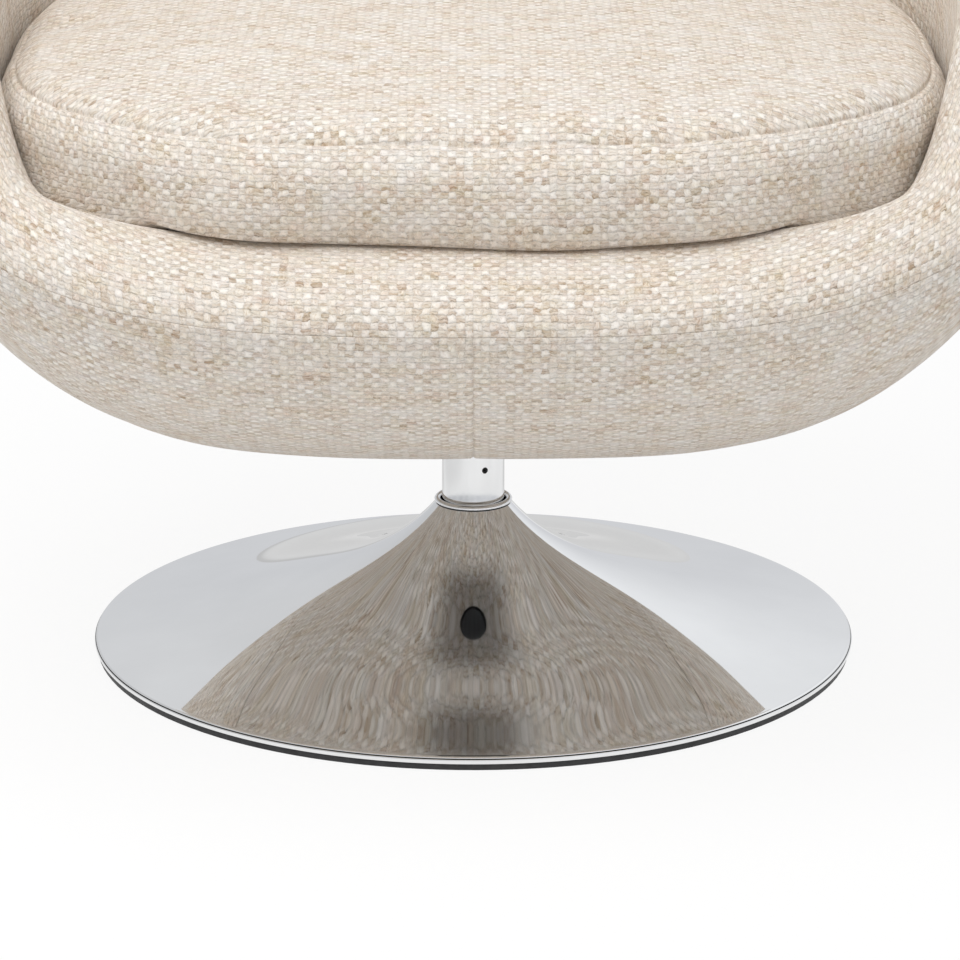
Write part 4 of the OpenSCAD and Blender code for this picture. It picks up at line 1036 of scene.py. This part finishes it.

# Studio: a wide pale floor, a large soft lamp overhead and an even sky. What bright metal
# mirrors is set apart: painted on the floor, the chair's shadow behind it and shade to the left, and a sky
# paler on the right.

WHITE = 1.02
NEAR_WHITE = 0.94
SHADED = 0.67
LEFT_SHADE = 0.8
FLOOR_GLOW = 0.87
SKY = 0.69
FLOOR_HALF = 60.0
BEHIND_Y, NARROW_X, LEFT_X = (0.18, 0.34), (0.15, 0.27), (-0.42, -0.2)
NARROWING = -0.16
floor_mesh = bpy.data.meshes.new("floor")
floor_mesh.from_pydata([(x, y, 0) for x, y in ((-1, -1), (1, -1), (1, 1), (-1, 1))], [], [(0, 1, 2, 3)])
floor_mesh.transform(Matrix.Scale(FLOOR_HALF, 4))
floor = bpy.data.objects.new("floor", floor_mesh)
bpy.context.scene.collection.objects.link(floor)
paper = bpy.data.materials.new("studio_paper")
paper.use_nodes = True
tree = paper.node_tree
shader = tree.nodes["Principled BSDF"]
shader.inputs["Base Color"].default_value = (0.85, 0.85, 0.85, 1)
shader.inputs["Roughness"].default_value = 1.0
shader.inputs["Specular IOR Level"].default_value = 0.0
ray = node(tree, "LightPath")
glossy = ray.outputs["Is Glossy Ray"]
seen = maths(tree, "MAXIMUM", ray.outputs["Is Camera Ray"], glossy)
at_x, at_y, _ = node(tree, "SeparateXYZ", {0: node(tree, "TexCoord").outputs["Object"]}).outputs
# Painted shadow of the chair on the floor behind it, and painted shade to the left, both only in what bright
# metal mirrors.
behind = ranged(tree, at_y, *BEHIND_Y, kind="SMOOTHSTEP")
wide = maths(tree, "MULTIPLY_ADD", at_y, NARROWING, maths(tree, "ABSOLUTE", at_x))
narrow = ranged(tree, wide, *NARROW_X, 1.0, 0.0, "SMOOTHSTEP")
mirrored = node(tree, "Mix", {0: maths(tree, "MULTIPLY", behind, narrow), 2: NEAR_WHITE, 3: SHADED})
to_left = ranged(tree, at_x, *LEFT_X, LEFT_SHADE, 1.0, "SMOOTHSTEP")
level = node(tree, "Mix", {0: glossy, 2: WHITE, 3: maths(tree, "MULTIPLY", mirrored.outputs[0], to_left)})
glow = node(tree, "Emission", {"Color": (1, 1, 1, 1), "Strength": level.outputs[0]})
blend = node(tree, "MixShader", {
    0: maths(tree, "MULTIPLY", seen, FLOOR_GLOW), 1: shader.outputs[0], 2: glow.outputs[0],
})
tree.links.new(blend.outputs[0], tree.nodes["Material Output"].inputs["Surface"])
floor_mesh.materials.append(paper)


def mixed(tree, share, first, second):
    """The colour at a share of the way from the first to the second."""
    return node(tree, "Mix", {0: share, 6: first, 7: second}, data_type="RGBA").outputs[2]


world = bpy.data.worlds.new("studio_sky")
world.use_nodes = True
bpy.context.scene.world = world
tree = world.node_tree
to_x, _, to_z = node(tree, "SeparateXYZ", {0: node(tree, "TexCoord").outputs["Generated"]}).outputs
side = ranged(tree, to_x, -0.5, 0.5)
low_sky = mixed(tree, side, (0.6, 0.61, 0.63, 1), (0.71, 0.72, 0.745, 1))
high_sky = mixed(tree, side, (0.59, 0.595, 0.605, 1), (0.95, 0.965, 0.985, 1))
tone = mixed(tree, ranged(tree, to_z, 0.1, 0.45), low_sky, high_sky)
ray = node(tree, "LightPath")
lit = mixed(tree, ray.outputs["Is Glossy Ray"], (SKY, SKY, SKY, 1), tone)
shown = mixed(tree, ray.outputs["Is Camera Ray"], lit, (1, 1, 1, 1))
tree.links.new(shown, tree.nodes["Background"].inputs["Color"])


def soft_lamp(name, place, size, power):
    """A square lamp aimed at the seat, which bright metal doesn't mirror."""
    lamp = bpy.data.lights.new(name, "AREA")
    lamp.shape = "SQUARE"
    lamp.size = size
    lamp.energy = power
    made = bpy.data.objects.new(name, lamp)
    bpy.context.scene.collection.objects.link(made)
    made.location = place
    made.rotation_euler = (Vector((0, 0, 0.35)) - Vector(place)).to_track_quat("-Z", "Y").to_euler()
    made.visible_glossy = False
    return made


soft_lamp("overhead", (-0.6, -0.9, 3.1), 2.2, 48.0)

EYE = (0, -2.8685, 0.9919)
AIM = (0, 0, 0.11327)
camera_data = bpy.data.cameras.new("camera")
camera_data.sensor_width = 36.0
camera_data.lens = 164.94
camera_data.shift_x = 0.007
camera_data.clip_end = 300
camera = bpy.data.objects.new("camera", camera_data)
bpy.context.scene.collection.objects.link(camera)
camera.location = EYE
camera.rotation_euler = (Vector(AIM) - Vector(EYE)).to_track_quat("-Z", "Y").to_euler()
bpy.context.scene.camera = camera
bpy.context.scene.view_settings.view_transform = "Standard"
